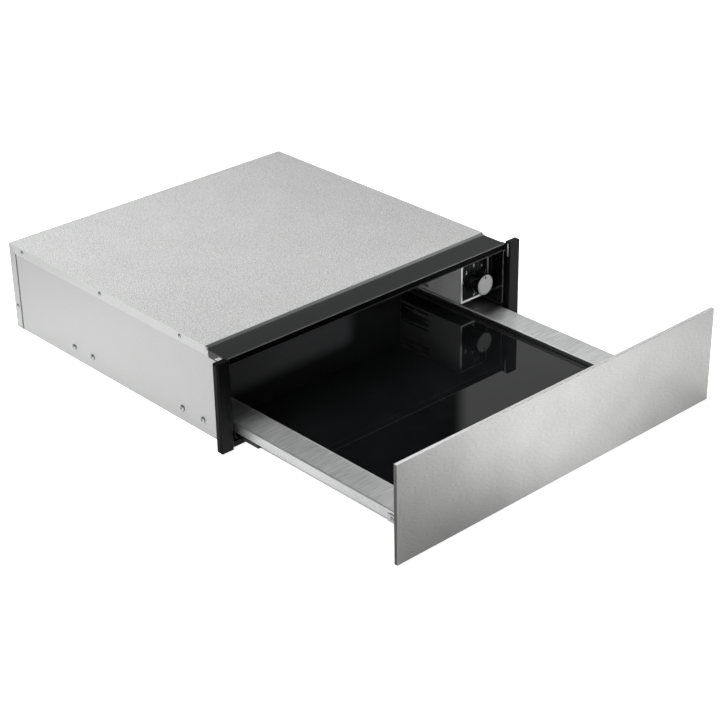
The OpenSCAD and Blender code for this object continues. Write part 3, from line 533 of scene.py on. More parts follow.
def screw_tree():
    """Domed screw heads with a cross recess, one on each point, turned at random."""
    if "screw_heads" in bpy.data.node_groups:
        return bpy.data.node_groups["screw_heads"]
    tree, given = new_tree("screw_heads", [
        ("Head Diameter", "Float", 5.2 * MM), ("Head Height", "Float", 1.4 * MM),
        ("Recess Width", "Float", 0.9 * MM), ("Recess Depth", "Float", 0.8 * MM),
        ("Seed", "Int", 3), ("Material", "Material", None)])
    radius = add(tree, "ShaderNodeMath", {"operation": "DIVIDE"}, {0: given["Head Diameter"], 1: 2.0})
    rise = add(tree, "ShaderNodeMath", {"operation": "DIVIDE"}, {0: given["Head Height"], 1: radius})
    squeeze = add(tree, "ShaderNodeCombineXYZ", sockets={0: 1.0, 1: 1.0, 2: rise})
    ball = add(tree, "GeometryNodeMeshUVSphere", sockets={"Segments": 28, "Rings": 16, "Radius": radius})
    dome = add(tree, "GeometryNodeTransform", sockets={"Geometry": ball, "Scale": squeeze})
    long, deep, wide, under = [
        add(tree, "ShaderNodeMath", {"operation": "MULTIPLY"}, {0: given[label], 1: share})
        for label, share in (("Head Diameter", 0.6), ("Recess Depth", 2.0), ("Head Diameter", 1.5),
                             ("Head Diameter", -0.75))]
    width, top = given["Recess Width"], given["Head Height"]
    head = add(tree, "GeometryNodeMeshBoolean", {"operation": "DIFFERENCE"}, {"Mesh 1": dome})
    # The two bars of the recess, and the block that takes away the lower half of the ball.
    for sides, height in (((long, width, deep), top), ((width, long, deep), top),
                          ((wide, wide, wide), under)):
        size = add(tree, "ShaderNodeCombineXYZ", sockets=dict(enumerate(sides)))
        block = add(tree, "GeometryNodeMeshCube", sockets={"Size": size})
        lift = add(tree, "ShaderNodeCombineXYZ", sockets={2: height})
        cutter = add(tree, "GeometryNodeTransform", sockets={"Geometry": block, "Translation": lift})
        tree.links.new(cutter.outputs[0], head.inputs["Mesh 2"])
    turn = add(tree, "GeometryNodeInputNamedAttribute", {"data_type": "FLOAT_VECTOR"}, {"Name": "turn"})
    # Each head is turned about its own axis by up to a full turn, in radians.
    spin = add(tree, "FunctionNodeRandomValue", {"data_type": "FLOAT"}, {
        2: 0.0, 3: 6.28, "Seed": given["Seed"]})
    about = add(tree, "ShaderNodeCombineXYZ", sockets={2: spin.outputs[1]})
    placed = add(tree, "GeometryNodeInstanceOnPoints", sockets={
        "Points": given["Geometry"], "Instance": head, "Rotation": turn})
    spun = add(tree, "GeometryNodeRotateInstances", sockets={"Instances": placed, "Rotation": about})
    end_tree(tree, spun, given["Material"])
    return tree


def ball_tree():
    """A polished ball on each point."""
    if "ball_rows" in bpy.data.node_groups:
        return bpy.data.node_groups["ball_rows"]
    tree, given = new_tree("ball_rows", [("Diameter", "Float", 3.4 * MM), ("Material", "Material", None)])
    radius = add(tree, "ShaderNodeMath", {"operation": "DIVIDE"}, {0: given["Diameter"], 1: 2.0})
    ball = add(tree, "GeometryNodeMeshIcoSphere", sockets={"Radius": radius, "Subdivisions": 3})
    placed = add(tree, "GeometryNodeInstanceOnPoints", sockets={
        "Points": given["Geometry"], "Instance": ball})
    end_tree(tree, placed, given["Material"])
    return tree


# Places

def middle(node):
    low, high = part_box(node)
    return (low + high) / 2


SIDE_TURN = {1: (0.0, math.radians(90), 0.0), -1: (0.0, math.radians(-90), 0.0)}


def clusters(node):
    """The separate solids of a CAD node as (lowest, highest) corners, in order along y and z."""
    bm = merged_copy(node)
    bm.verts.ensure_lookup_table()
    seen, found = set(), []
    for start in bm.verts:
        if start.index in seen:
            continue
        stack, group = [start], []
        seen.add(start.index)
        while stack:
            vert = stack.pop()
            group.append(vert.co.copy())
            for link in vert.link_edges:
                other = link.other_vert(vert)
                if other.index not in seen:
                    seen.add(other.index)
                    stack.append(other)
        found.append((Vector([min(c[k] for c in group) for k in range(3)]),
                      Vector([max(c[k] for c in group) for k in range(3)])))
    bm.free()
    return sorted(found, key=lambda pair: (pair[0].x > 0, pair[0].y, pair[0].z))


# A head is this much wider than its CAD screw, and its recess this deep in its height.
HEAD_SHARE, RECESS_SHARE = 1.2, 0.55
# The dome's faces that look outward less than this are its rim.
RIM = 0.6


def screws(name, node, body, mat, slot, face, height, seed):
    """Domed heads over the CAD screws of one node, seated on the sheet at a distance from the middle."""
    solids = clusters(node)
    diameter = solids[0][1].z - solids[0][0].z
    places, turns = [], []
    for low, high in solids:
        side = 1 if low.x > 0 else -1
        mid = (low + high) / 2
        places.append((side * face, mid.y, mid.z))
        turns.append(SIDE_TURN[side])
    heads = grow(name, places, screw_tree(), {
        "Head Diameter": HEAD_SHARE * diameter, "Head Height": height, "Recess Width": settings().recess,
        "Recess Depth": RECESS_SHARE * height, "Seed": seed}, mat, turns)
    # The rim and the recess of each head are painted dark as painted shade.
    recoat(heads, "oiled_screw_rim", lambda at, way: abs(way.x) < RIM)
    return seat(heads, body, slot, node)


# Operators

class DRAWER_OT_casing(bpy.types.Operator):
    """Makes the folded casing, its cover, rear panel and corner tabs"""
    bl_idname = "drawer.casing"
    bl_label = "Casing"
    lip: length("Lip reach", "How far the cover's front lip reaches over the band", 2.1 * MM)
    rivet: length("Rivet radius", "Radius of the rivets on the corner tabs", 1.7 * MM)

    def execute(self, context):
        front = 0.6 * MM
        tab_out, tab_up = 0.6 * MM, 0.7 * MM
        shell = dress("shell_sheet", "casing_shell", "casing", "galvanised_side", "galvanised")
        # The walls' inward faces are painted dark: painted shade inside the casing.
        recoat(shell, "dull_zinc_inside", lambda at, way: abs(way.x) > MOSTLY and way.x * at.x < 0)
        recoat(shell, "powder_coat_post", lambda at, way: at.y < front)
        # The cover's faces along its width and depth get the lighter zinc of the painted sheen.
        dress("cover_sheet", "top_cover", "casing", "galvanised_cover", "galvanised", 0.35,
              sides={0: "galvanised_fold", 1: "galvanised_fold"})
        dress("rear_sheet", "rear_panel", "casing", "galvanised_side", "galvanised", 0.35)
        # The tabs, their rivets and the post clips are pale zinc whose brightness is a painted glint.
        tabs = dress("corner_tab_sheets", "corner_tabs", "casing", "passivated_zinc", "galvanised", 0.3)
        for vert in tabs.data.vertices:
            vert.co.x += math.copysign(tab_out, vert.co.x)
            vert.co.z += tab_up
        low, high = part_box("corner_tabs")
        bm = bmesh.new()
        for side in (-1, 1):
            place = Matrix.Translation((side * (high.x - 0.4 * MM), high.y - 2 * MM, high.z + 1.2 * MM))
            bmesh.ops.create_uvsphere(bm, u_segments=16, v_segments=10, radius=self.rivet, matrix=place)
        seat(from_bmesh("corner_rivets", bm, "passivated_zinc"), "casing", "zinc_fasteners")
        self.cover_lip()
        return {"FINISHED"}

    def cover_lip(self):
        """The cover's front edge, bent down at a slant to the band."""
        low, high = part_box("top_cover")
        band_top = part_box("front_band")[1].z
        into = 0.1 * MM
        bm = bmesh.new()
        rings = []
        for x in (low.x + self.lip / 2, high.x - self.lip / 2):
            rings.append([bm.verts.new((x, low.y + into, high.z - into)),
                          bm.verts.new((x, low.y - self.lip, band_top)),
                          bm.verts.new((x, low.y + into, band_top))])
        for k in range(3):
            j = (k + 1) % 3
            bm.faces.new((rings[0][k], rings[0][j], rings[1][j], rings[1][k]))
        for ring in rings:
            bm.faces.new(ring)
        bmesh.ops.recalc_face_normals(bm, faces=bm.faces)
        # The lip's darker zinc is painted shade.
        seat(from_bmesh("cover_front_lip", bm, "galvanised_lip"), "casing", "galvanised")


class DRAWER_OT_casing_screws(bpy.types.Operator):
    """Puts domed cross-head screws in the sides of the casing"""
    bl_idname = "drawer.casing_screws"
    bl_label = "Casing screws"

    def execute(self, context):
        sheet = 0.8 * MM
        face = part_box("top_cover")[1].x
        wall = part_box("liner_right")[1].x + sheet
        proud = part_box("cover_screws")[1].x - face
        for kind, slot, at, height, seed in (("cover", "dark_fasteners", face, proud, 3),
                                             ("rear", "dark_fasteners", face, proud, 5),
                                             ("runner", "zinc_fasteners", wall,
                                              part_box("runner_screws")[1].x - wall, 8)):
            screws(f"{kind}_screw_heads", f"{kind}_screws", "casing", "dark_zinc_screws", slot,
                   at, height, seed)
        return {"FINISHED"}


# The band's faces that look forward more than this, and upward less than this, belong to its lip.
FORWARD = 0.2


class DRAWER_OT_front_frame(bpy.types.Operator):
    """Makes the black band, the posts with their clips, and the sill"""
    bl_idname = "drawer.front_frame"
    bl_label = "Front frame"

    def execute(self, context):
        band = dress("band_sheet", "front_band", "casing", "powder_coat_band", "black_band", 0.6,
                     steps=3, sides={1: "powder_coat_lip"})
        # The lip's forward faces, and the return behind it, get the near-black of painted shade.
        recoat(band, "powder_coat_lip", lambda at, way: at.y < 0 and way.y < -FORWARD and way.z < FORWARD)
        self.band_trim()
        post = dress("left_post_shell", "left_post", "casing", "powder_coat_post", "black_post", 0.3)
        outward = 0.5
        # The left post's outer side gets painted shade.
        recoat(post, "powder_coat_shade", lambda at, way: way.x < -outward)
        dress("right_post_shell", "right_post", "casing", "powder_coat_post", "black_post", 0.3)
        # The post clips' pale zinc is a painted glint.
        dress("post_spring_clips", "post_clips", "casing", "passivated_zinc", "zinc_fasteners", 0.15)
        dress("sill_sheet", "front_sill", "casing", "powder_coat_post", "black_post")
        wing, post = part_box("front_band")[1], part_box("right_post")[0]
        boxes("post_gap_seals", [((side * wing.x, -1.6 * MM, post.z + 0.12),
                                  (side * post.x, 6 * MM, wing.z - 0.2 * MM)) for side in (-1, 1)],
              "silicone_rubber", "casing", "black_rubber")
        return {"FINISHED"}

    def band_trim(self):
        """The band's front edge with its painted highlight, and its return with a hem down behind the lip."""
        low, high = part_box("front_band")
        half = high.x - 1.2 * MM
        lip_foot = high.z - 5 * MM
        return_foot = lip_foot - 4.6 * MM
        hem_foot = lip_foot - 5.9 * MM
        # The hem strip is painted lighter than the band's black, as a painted sheen.
        for name, foot, top, mat in (("band_return", return_foot, lip_foot + 0.7 * MM, "powder_coat_lip"),
                                     ("band_hem", hem_foot, return_foot, "powder_coat_hem")):
            boxes(name, [((-half, low.y + 0.3 * MM, foot), (half, low.y + 1.2 * MM, top))],
                  mat, "casing", "black_band")
        # A painted highlight: a round grey bar along the band's front top edge.
        round_edge = bar((0, low.y + 0.5 * MM, high.z - 0.5 * MM), 2 * half, 0.7 * MM, "Y")
        seat(from_bmesh("band_rubbed_edge", round_edge, "rubbed_powder_edge"), "casing", "black_band")


class DRAWER_OT_liners(bpy.types.Operator):
    """Makes the glossy black walls and ceiling inside, and the wool over them"""
    bl_idname = "drawer.liners"
    bl_label = "Inner walls"

    def execute(self, context):
        dress("liner_top_sheet", "liner_top", "casing", "satin_black_enamel", "black_gloss", 0.2)
        for node in ("liner_left", "liner_right"):
            # The walls' front and back edges get the painted highlight.
            dress(node + "_sheet", node, "casing", "black_enamel", "black_gloss", 0.2,
                  sides={1: "ground_edge"})
        coat_node("top_insulation", "mineral_board")
        return {"FINISHED"}


class DRAWER_OT_slides(bpy.types.Operator):
    """Makes the fixed and moving slide members and their brackets"""
    bl_idname = "drawer.slides"
    bl_label = "Slides"

    def execute(self, context):
        for side in ("left", "right"):
            for member, body in (("outer", "casing"), ("inner", "drawer")):
                # The slide members' dark grey is painted shade.
                dress(f"{member}_slide_{side}", f"slide_{member}_{side}", body, "drawn_slide_steel",
                      "slide_steel", 0.2)
        # The galvanised brackets get the dark cage steel as painted shade.
        dress("slide_angle_brackets", "slide_brackets", "casing", "phosphated_cage", "galvanised", 0.3)
        return {"FINISHED"}


class DRAWER_OT_ball_cages(bpy.types.Operator):
    """Makes the two ball cages, each a pressed strip with two rows of balls"""
    bl_idname = "drawer.ball_cages"
    bl_label = "Ball cages"
    balls: IntProperty(name="Balls in a row", description="Balls along one edge of a cage", default=12, min=2)
    diameter: length("Ball diameter", "Diameter of a ball", 3.4 * MM)
    end: length("First ball", "From the cage's end to its first ball", 7 * MM)
    play: length("Ball play", "From the cage's inner side to the balls", 0.4 * MM)
    strip: length("Strip", "Thickness of the cage's sheet", 0.6 * MM)

    def execute(self, context):
        for side, sign in (("left", -1), ("right", 1)):
            node = f"ball_cage_{side}"
            low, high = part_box(node)
            outer = max(abs(low.x), abs(high.x))
            inner = min(abs(low.x), abs(high.x))
            step = (high.y - low.y - 2 * self.end) / (self.balls - 1)
            radius = self.diameter / 2
            row = inner + radius + self.play
            places = [(sign * row, low.y + self.end + k * step, z)
                      for k in range(self.balls) for z in (low.z + radius, high.z - radius)]
            balls = grow(f"ball_rows_{side}", places, ball_tree(), {"Diameter": self.diameter},
                         "polished_ball_steel")
            seat(balls, f"cage_{side}", "cage_steel")
            web = outer - self.strip
            walls = ((web, outer, low.z, high.z), (inner, web, low.z, low.z + self.strip),
                     (inner, web, high.z - self.strip, high.z))
            boxes(f"cage_strip_{side}", [((sign * x0, low.y, z0), (sign * x1, high.y, z1))
                                         for x0, x1, z0, z1 in walls],
                  "phosphated_cage", f"cage_{side}", "cage_steel", node)
        return {"FINISHED"}


class DRAWER_OT_control_box(bpy.types.Operator):
    """Makes the steel box of the controls with its black fascia and the switch"""
    bl_idname = "drawer.control_box"
    bl_label = "Control box"

    def execute(self, context):
        # The box's front rim and other faces along the depth get the painted highlight.
        dress("control_box_sheet", "control_housing", "casing", "satin_stainless_box", "stainless_box", 0.3,
              sides={1: "ground_edge"})
        dress("fascia_glass", "control_fascia", "casing", "etched_black_glass", "black_glass", 0.2)
        dress("switch_bezel", "switch_body", "casing", "moulded_polyamide", "black_plastic", 0.25)
        dress("rocker_cap", "rocker", "rocker_key", "polycarbonate_rocker", "rocker_grey", 0.5, steps=3)
        coat_node("rocker_pin", "zinc_plating")
        coat_node("regulator", "urea_resin")
        return {"FINISHED"}


class DRAWER_OT_dial_marks(bpy.types.Operator):
    """Prints the numbers round the knob"""
    bl_idname = "drawer.dial_marks"
    bl_label = "Dial marks"
    reach: length("Print radius", "From the knob's centre to the middle of a number", 24.6 * MM)

    def execute(self, context):
        centre = middle("knob")
        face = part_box("control_fascia")[0].y
        proud = 0.03 * MM
        upright = Matrix.Rotation(math.radians(90), 4, "X")
        joined = bmesh.new()
        # Each number: its angle about the knob, and its share of the print radius.
        marks = (("0", 268, 0.92), ("1", 173, 1), ("2", 135, 1), ("3", 95, 1), ("4", 52.6, 1), ("5", 18, 1))
        for text, angle, share in marks:
            curve = bpy.data.curves.new("mark", "FONT")
            curve.body = text
            curve.size = settings().print_size
            curve.align_x, curve.align_y = "CENTER", "CENTER"
            curve.extrude = proud
            label = new_object("mark", curve)
            depsgraph = context.evaluated_depsgraph_get()
            mesh = bpy.data.meshes.new_from_object(label.evaluated_get(depsgraph))
            turn = math.radians(angle)
            x = centre.x + share * self.reach * math.cos(turn)
            z = centre.z + share * self.reach * math.sin(turn)
            mesh.transform(Matrix.Translation((x, face - proud, z)) @ upright)
            joined.from_mesh(mesh)
            bpy.data.objects.remove(label)
            bpy.data.curves.remove(curve)
            bpy.data.meshes.remove(mesh)
        bmesh.ops.remove_doubles(joined, verts=joined.verts, dist=1e-7)
        seat(from_bmesh("dial_numbers", joined, "ceramic_print"), "casing", "white_plastic")
        return {"FINISHED"}


class DRAWER_OT_knob(bpy.types.Operator):
    """Turns the black knob and its metal cap"""
    bl_idname = "drawer.knob"
    bl_label = "Knob"

    def execute(self, context):
        low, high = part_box("knob")
        cap_low, cap_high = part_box("knob_cap")
        centre = (low + high) / 2
        # The profiles are in mm, the first from the knob's foot and the second from the cap's.
        flange = (high.z - low.z) / 2 / MM
        depth = (high.y - low.y) / MM
        cap_r = (cap_high.z - cap_low.z) / 2 / MM
        body_r = cap_r + 0.8
        bore = 3.05
        profile = [(0, depth - 2.2), (bore, depth - 2.2), (bore, 0), (flange - 1, 0), (flange - 0.25, 0.3),
                   (flange, 1.1), (flange - 0.3, 1.9), (flange - 1, 2.4), (body_r + 1.2, 2.6),
                   (body_r + 0.5, 2.9), (body_r + 0.1, 3.8), (body_r, 5.5), (body_r, depth - 0.7),
                   (body_r - 0.1, depth - 0.3), (body_r - 0.35, depth), (cap_r + 0.1, depth),
                   (cap_r + 0.05, depth - 0.1), (cap_r + 0.05, depth - 1), (0, depth - 1)]
        knob = lathe("knob_grip", profile, Vector((centre.x, high.y, centre.z)), "phenolic_knob", 128)
        seat(knob, "knob_set", "knob_black", "knob")
        front = (cap_high.y - cap_low.y) / MM
        rings = [(0, 0), (cap_r - 0.1, 0), (cap_r, 0.1), (cap_r, front - 0.35),
                 (cap_r - 0.12, front - 0.12), (cap_r - 0.4, front)]
        rings += [(cap_r * (1 - k / 8), front) for k in range(1, 8)] + [(0, front)]
        cap = lathe("knob_cap_disc", rings, Vector((centre.x, cap_high.y, centre.z)), "turned_aluminium", 128)
        self.ring_uv(cap.data, centre)
        seat(cap, "knob_set", "knob_metal", "knob_cap")
        boxes("knob_pointer", [((centre.x - 1.3 * MM, cap_low.y - 0.02 * MM, centre.z + 9.4 * MM),
                                (centre.x + 1.3 * MM, cap_low.y + 0.05 * MM, centre.z + 13.8 * MM))],
              "phenolic_knob", "knob_set", "knob_black")
        coat_node("knob_spindle", "zinc_plating")
        return {"FINISHED"}

    def ring_uv(self, mesh, centre):
        """Writes a UV map of the distance from the centre and the turn about it."""
        layer = mesh.uv_layers.new(name="Across")
        for face in mesh.polygons:
            turn = math.atan2(face.center.x - centre.x, face.center.z - centre.z)
            for loop in face.loop_indices:
                away = mesh.vertices[mesh.loops[loop].vertex_index].co - centre
                r = math.hypot(away.x, away.z)
                own = math.atan2(away.x, away.z) if r > SAME else turn
                own += 2 * math.pi * round((turn - own) / (2 * math.pi))
                layer.data[loop].uv = (r, own / (2 * math.pi))


class DRAWER_OT_hot_air(bpy.types.Operator):
    """Finishes the fan, its heater and the thermal cut-out"""
    bl_idname = "drawer.hot_air"
    bl_label = "Hot air unit"

    def execute(self, context):
        dress("fan_square_frame", "fan_frame", "casing", "moulded_polyamide", "black_plastic", 0.25)
        coat_node("fan_motor", "dark_zinc_screws")
        dress("fan_blades", "fan_impeller", "fan_rotor", "moulded_polyamide", "black_plastic", 0.15)
        coat_node("heater", "blank_aluminium")
        coat_node("thermal_cutout", "blank_aluminium")
        return {"FINISHED"}


class DRAWER_OT_supply(bpy.types.Operator):
    """Finishes the terminal box, the conduit with its clips, and the cord gland"""
    bl_idname = "drawer.supply"
    bl_label = "Supply side"
    ribs: IntProperty(name="Gland ribs", description="Ribs on the soft neck of the gland", default=5, min=1)

    def execute(self, context):
        dress("terminal_box_shell", "junction_box", "casing", "moulded_polyamide", "black_plastic", 0.5)
        dress("wire_clips", "loom_clips", "casing", "galvanised_side", "galvanised", 0.15)
        coat_node("terminal_block", "urea_resin")
        coat_node("loom", "moulded_polyamide")
        # The profile is in mm, from the frame's own y = 0.
        low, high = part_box("cord_gland")
        inside, wall, end = low.y / MM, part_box("rear_panel")[1].y / MM, high.y / MM
        outer = (high.z - low.z) / 2 / MM
        bore, thread = 3.75, 5.75
        nut = inside + 4
        profile = [(bore, -inside), (outer, -inside), (outer, -nut), (thread, -nut), (thread, -wall)]
        pitch = (end - wall) / (self.ribs + 1)
        for k in range(self.ribs):
            y = wall + k * pitch
            r = outer - 0.22 * k
            groove = r - 0.5
            profile += [(r, -y), (r, -y - 0.7 * pitch), (groove, -y - 0.75 * pitch),
                        (groove, -y - 0.95 * pitch)]
        profile += [(outer - 1.9, 0.4 - end), (outer - 2.4, -end), (bore, -end), (bore, -inside)]
        at = Vector(((low.x + high.x) / 2, 0, (low.z + high.z) / 2))
        gland = lathe("cord_gland_ribbed", profile, at, "moulded_polyamide", 64)
        seat(gland, "casing", "black_plastic", "cord_gland")
        return {"FINISHED"}


class DRAWER_OT_latch(bpy.types.Operator):
    """Finishes the push latch, its plunger and the striker on the tray"""
    bl_idname = "drawer.latch"
    bl_label = "Push latch"

    def execute(self, context):
        dress("latch_housing", "latch_body", "casing", "moulded_acetal", "white_plastic", 0.4)
        dress("latch_pin", "latch_plunger", "plunger", "moulded_polyamide", "black_plastic", 0.4)
        dress("striker_plate", "striker", "drawer", "zinc_plating", "zinc_fasteners", 0.1)
        return {"FINISHED"}


class DRAWER_OT_tray(bpy.types.Operator):
    """Makes the tray, the black glass base with its seal, and the back of the drawer"""
    bl_idname = "drawer.tray"
    bl_label = "Tray and glass"

    def execute(self, context):
        dress("tray_sheet", "drawer_tray", "drawer", "galvanised_side", "galvanised")
        dress("glass_plate", "glass_base", "drawer", "black_glass", "black_glass", 0.5, steps=3)
        dress("glass_seal_strips", "glass_seal", "drawer", "silicone_rubber", "black_rubber", 0.25)
        # The drawer's back is painted grey as painted light.
        dress("drawer_back_sheet", "drawer_back", "drawer", "satin_grey_enamel", "black_gloss", 0.2)
        coat_node("tray_board", "mineral_board")
        return {"FINISHED"}


class DRAWER_OT_rails(bpy.types.Operator):
    """Makes the brushed side rails of the drawer"""
    bl_idname = "drawer.rails"
    bl_label = "Side rails"
    radius: length("Bead radius", "Radius of the rolled inner edge", 0.8 * MM)

    def execute(self, context):
        for side in ("left", "right"):
            dress(f"{side}_rail_sheet", f"{side}_rail", "drawer", "brushed_stainless_rail", "stainless_rail",
                  0.4, brush=0, steps=3)
            self.bead(side)
        return {"FINISHED"}

    def bead(self, side):
        """The rolled inner edge of a rail, which runs along the glass, pale as its painted highlight."""
        low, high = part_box(f"{side}_rail")
        sign = 1 if low.x > 0 else -1
        inner = min(abs(low.x), abs(high.x)) + self.radius
        rod = bar((sign * inner, (low.y + high.y) / 2, high.z - self.radius / 2),
                  high.y - low.y - 2 * MM, self.radius, "X")
        # Painted highlight: the right bead in the pale edge steel, the left one in the cover's lighter zinc.
        mat = "ground_edge" if sign > 0 else "galvanised_fold"
        seat(from_bmesh(f"{side}_rail_bead", rod, mat), "drawer", "stainless_rail")


class DRAWER_OT_front_panel(bpy.types.Operator):
    """Makes the brushed front with its core, brackets and buffers"""
    bl_idname = "drawer.front_panel"
    bl_label = "Front panel"

    def execute(self, context):
        # The front's top and bottom edges get the painted highlight, its side edges a painted dark
        # reflection.
        dress("front_panel_pan", "front_panel", "drawer", "brushed_stainless_front", "stainless_front", 0.35,
              brush=0, steps=3, sides={0: "dull_edge", 2: "ground_edge"})
        coat_node("panel_core", "moulded_polyamide")
        dress("rail_angles", "panel_brackets", "drawer", "zinc_plating", "zinc_fasteners", 0.3)
        sheet = 1.5 * MM
        face = clusters("panel_brackets")[-1][0].x + sheet
        screws("angle_screw_heads", "bracket_screws", "drawer", "zinc_plating", "zinc_fasteners", face,
               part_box("bracket_screws")[1].x - face, 11)
        dress("front_buffers", "bumpers", "drawer", "silicone_rubber", "black_rubber", 0.3)
        return {"FINISHED"}


class DRAWER_OT_stage(bpy.types.Operator):
    """Lays the white floor and sets the sky, the lamps and the camera"""
    bl_idname = "drawer.stage"
    bl_label = "Stage"
    floor_half: length("Floor half width", "From the floor's middle to its edge", 4)

    def execute(self, context):
        s = studio()
        scene = context.scene
        scene.view_settings.view_transform = "Standard"
        self.floor(s)
        self.sky(scene, s)
        # Each lamp: its power, its width, where it stands, where it looks and its spread in degrees.
        middle_high = (0, 0, 0.05)
        self.lamp("key_softbox", s.key, 0.8, (-0.35, 0.75, 1.2), middle_high, mirrored=False)
        self.lamp("left_softbox", s.left, 0.8, (-0.9, 0.2, 1.5), middle_high, mirrored=False)
        self.lamp("side_softbox", s.side, 0.6, (-1.2, -0.4, 0.5), (-0.3, 0.2, 0.05))
        self.lamp("rim_softbox", s.rim, 0.8, (1.6, 1.2, 0.4), middle_high, mirrored=False)
        self.lamp("opening_card", s.card, 0.25, (-0.35, -0.33, 0.25), (0.2, 0.08, 0.09), 70, mirrored=False)
        self.lamp("back_card", s.back_card, 0.05, (0.49, -0.38, 0.21), (-0.02, 0.163, 0.05), 50,
                  mirrored=False)
        self.camera(scene, s)
        return {"FINISHED"}

    def floor(self, s):
        """White paper, with pools of light in front that only glossy faces show."""
        # Each pool: its middle on the floor, its radius in metres and its strength.
        pools = ((0.02, -0.42, 0.14, 0.78), (0.2, -0.62, 0.22, 1.65), (0.5, -0.6, 0.2, 0.93),
                 (-0.2, -0.5, 0.16, 0.05), (-0.42, -0.05, 0.25, 0.34), (-0.42, 0.4, 0.25, 0.5))
        bm = bmesh.new()
        bmesh.ops.create_grid(bm, x_segments=1, y_segments=1, size=self.floor_half)
        mat, tree = new_material("white_paper_floor")
        matt = add(tree, "ShaderNodeBsdfDiffuse", sockets={"Color": linear("#d9d9d9")})
        path = add(tree, "ShaderNodeLightPath").outputs
        place = add(tree, "ShaderNodeTexCoord").outputs["Object"]
        mirrored = s.haze
        for x, y, radius, strength in pools:
            away = add(tree, "ShaderNodeVectorMath", {"operation": "DISTANCE"}, {0: place, 1: (x, y, 0)})
            share = add(tree, "ShaderNodeMath", {"operation": "DIVIDE"}, {0: away.outputs[1], 1: radius})
            square = add(tree, "ShaderNodeMath", {"operation": "POWER"}, {0: share, 1: 2.0})
            fall = add(tree, "ShaderNodeMath", {"operation": "MULTIPLY"}, {0: square, 1: -1.0})
            pool = add(tree, "ShaderNodeMath", {"operation": "POWER"}, {0: math.e, 1: fall})
            lit = add(tree, "ShaderNodeMath", {"operation": "MULTIPLY"}, {0: pool, 1: strength})
            mirrored = add(tree, "ShaderNodeMath", {"operation": "ADD"}, {0: lit, 1: mirrored})
        seen = add(tree, "ShaderNodeMath", {"operation": "MAXIMUM"},
                   {0: path["Is Camera Ray"], 1: path["Is Transmission Ray"]})
        white = add(tree, "ShaderNodeMath", {"operation": "MULTIPLY"}, {0: seen, 1: s.glow})
        gloss = add(tree, "ShaderNodeMath", {"operation": "MULTIPLY"},
                    {0: path["Is Glossy Ray"], 1: mirrored})
        glow = add(tree, "ShaderNodeMath", {"operation": "ADD"}, {0: white, 1: gloss})
        light = add(tree, "ShaderNodeEmission", sockets={"Strength": glow})
        both = add(tree, "ShaderNodeAddShader", sockets={0: matt, 1: light})
        add(tree, "ShaderNodeOutputMaterial", sockets={"Surface": both})
        from_bmesh("studio_floor", bm, mat.name)

    def sky(self, scene, s):
        """White to the camera; glossy faces see a dark wall behind and lit walls right of it."""
        world = bpy.data.worlds.new("studio_room")
        scene.world = world
        world.use_nodes = True
        tree = world.node_tree
        tree.nodes.clear()
        ray = add(tree, "ShaderNodeTexCoord").outputs["Generated"]
        axes = add(tree, "ShaderNodeSeparateXYZ", sockets={0: ray}).outputs
        turn = add(tree, "ShaderNodeMath", {"operation": "ARCTAN2"}, {0: axes[0], 1: axes[1]})
        rise = add(tree, "ShaderNodeMath", {"operation": "ARCSINE"}, {0: axes[2]})
        # Each wall: its light, then where it starts and ends and how soft both ends are, in degrees, first
        # about the upright axis from behind towards the right, then upward.
        walls = ((s.pale_wall, (45.5, 61, 0.6, 3), (-1, 48, 2, 6)),
                 (s.high_panel, (61, 98, 3, 6), (39, 58, 3, 4)),
                 (s.ceiling, (61, 126, 6, 10), (60, 91, 4, 1)),
                 (s.front_wall, (116, 148, 6, 6), (12, 38, 6, 6)),
                 (s.far_wall, (-181, -70, 0.5, 30), (-1, 46, 2, 8)),
                 (s.rear_wall, (-75, 0, 15, 20), (5, 70, 8, 10)))
        light = 0.0
        for strength, across, upward in walls:
            for value, (start, end, soft_start, soft_end) in ((turn, across), (rise, upward)):
                inside, past = [
                    add(tree, "ShaderNodeMapRange", {"interpolation_type": "SMOOTHSTEP"}, {
                        "Value": value,
                        "From Min": math.radians(foot),
                        "From Max": math.radians(foot + soft)})
                    for foot, soft in ((start, soft_start), (end, soft_end))]
                window = add(tree, "ShaderNodeMath", {"operation": "SUBTRACT"}, {0: inside, 1: past})
                strength = add(tree, "ShaderNodeMath", {"operation": "MULTIPLY"}, {0: window, 1: strength})
            light = add(tree, "ShaderNodeMath", {"operation": "ADD"}, {0: strength, 1: light})
        path = add(tree, "ShaderNodeLightPath").outputs
        room = add(tree, "ShaderNodeMix", {"data_type": "FLOAT"},
                   {0: path["Is Glossy Ray"], 2: s.ambient, 3: light})
        seen = add(tree, "ShaderNodeMath", {"operation": "MAXIMUM"},
                   {0: path["Is Camera Ray"], 1: path["Is Transmission Ray"]})
        strength = add(tree, "ShaderNodeMix", {"data_type": "FLOAT"}, {0: seen, 2: room, 3: 1.0})
        back = add(tree, "ShaderNodeBackground", sockets={"Color": (1, 1, 1, 1), "Strength": strength})
        add(tree, "ShaderNodeOutputWorld", sockets={"Surface": back})

    def lamp(self, name, power, size, place, aim, spread=180, mirrored=True):
        """A square soft lamp that the camera never sees, and glossy faces only when it is mirrored."""
        light = bpy.data.lights.new(name, "AREA")
        light.energy = power
        light.size = size
        light.shape = "SQUARE"
        light.spread = math.radians(spread)
        lamp = new_object(name, light)
        lamp.location = place
        lamp.rotation_euler = (Vector(place) - Vector(aim)).to_track_quat("Z", "Y").to_euler()
        lamp.visible_camera = False
        lamp.visible_glossy = mirrored
        return lamp

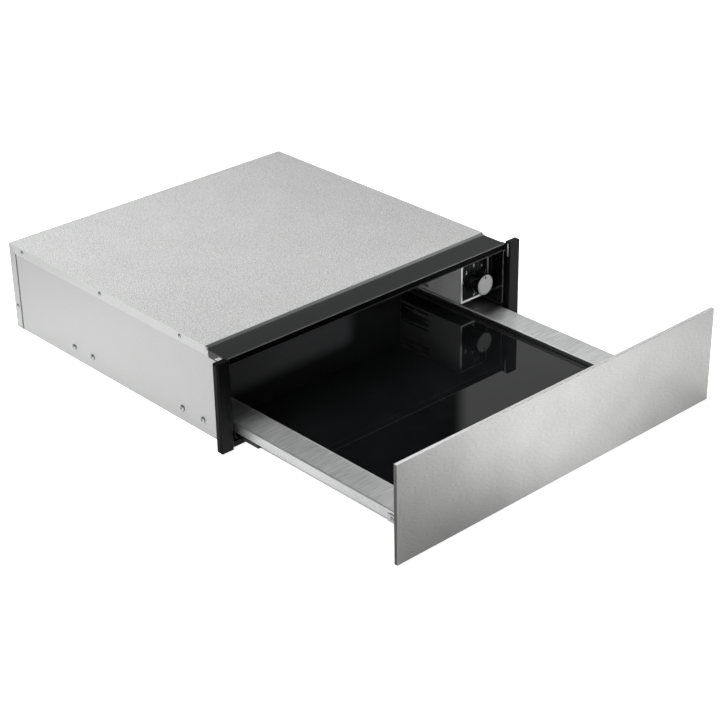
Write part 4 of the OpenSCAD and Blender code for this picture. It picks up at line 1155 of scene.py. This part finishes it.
    def camera(self, scene, s):
        data = bpy.data.cameras.new("photo_camera")
        data.lens = s.lens
        data.sensor_width = 36
        camera = new_object("photo_camera", data)
        back = Vector((math.sin(s.azimuth) * math.cos(s.elevation),
                       -math.cos(s.azimuth) * math.cos(s.elevation), math.sin(s.elevation)))
        camera.location = Vector(s.target) + s.reach * back
        aimed = Euler((math.pi / 2 - s.elevation, 0, s.azimuth)).to_matrix() @ Matrix.Rotation(s.roll, 3, "Z")
        camera.rotation_euler = aimed.to_euler()
        data.clip_start, data.clip_end = 0.05, 50
        scene.camera = camera


# Panel and running

OPERATORS = (DRAWER_OT_casing, DRAWER_OT_casing_screws, DRAWER_OT_front_frame, DRAWER_OT_liners,
             DRAWER_OT_slides, DRAWER_OT_ball_cages, DRAWER_OT_control_box, DRAWER_OT_dial_marks,
             DRAWER_OT_knob, DRAWER_OT_hot_air, DRAWER_OT_supply, DRAWER_OT_latch, DRAWER_OT_tray,
             DRAWER_OT_rails, DRAWER_OT_front_panel, DRAWER_OT_stage)


class DRAWER_PT_panel(bpy.types.Panel):
    """Lists the pieces of the warming drawer"""
    bl_idname = "DRAWER_PT_panel"
    bl_label = "Warming Drawer"
    bl_space_type = "VIEW_3D"
    bl_region_type = "UI"
    bl_category = "Drawer"

    def draw(self, context):
        for group in (context.scene.drawer_finish, context.scene.drawer_studio):
            column = self.layout.column()
            for prop in group.bl_rna.properties:
                if prop.identifier not in ("rna_type", "name"):
                    column.prop(group, prop.identifier)
        for operator in OPERATORS:
            self.layout.operator(operator.bl_idname)


CLASSES = (DrawerFinish, StudioSettings) + OPERATORS + (DRAWER_PT_panel,)


def register():
    for cls in CLASSES:
        bpy.utils.register_class(cls)
    bpy.types.Scene.drawer_finish = PointerProperty(type=DrawerFinish)
    bpy.types.Scene.drawer_studio = PointerProperty(type=StudioSettings)


def unregister():
    del bpy.types.Scene.drawer_studio
    del bpy.types.Scene.drawer_finish
    for cls in reversed(CLASSES):
        bpy.utils.unregister_class(cls)


def main():
    register()
    for operator in OPERATORS:
        group, name = operator.bl_idname.split(".")
        getattr(getattr(bpy.ops, group), name)()


if __name__ == "__main__":
    main()
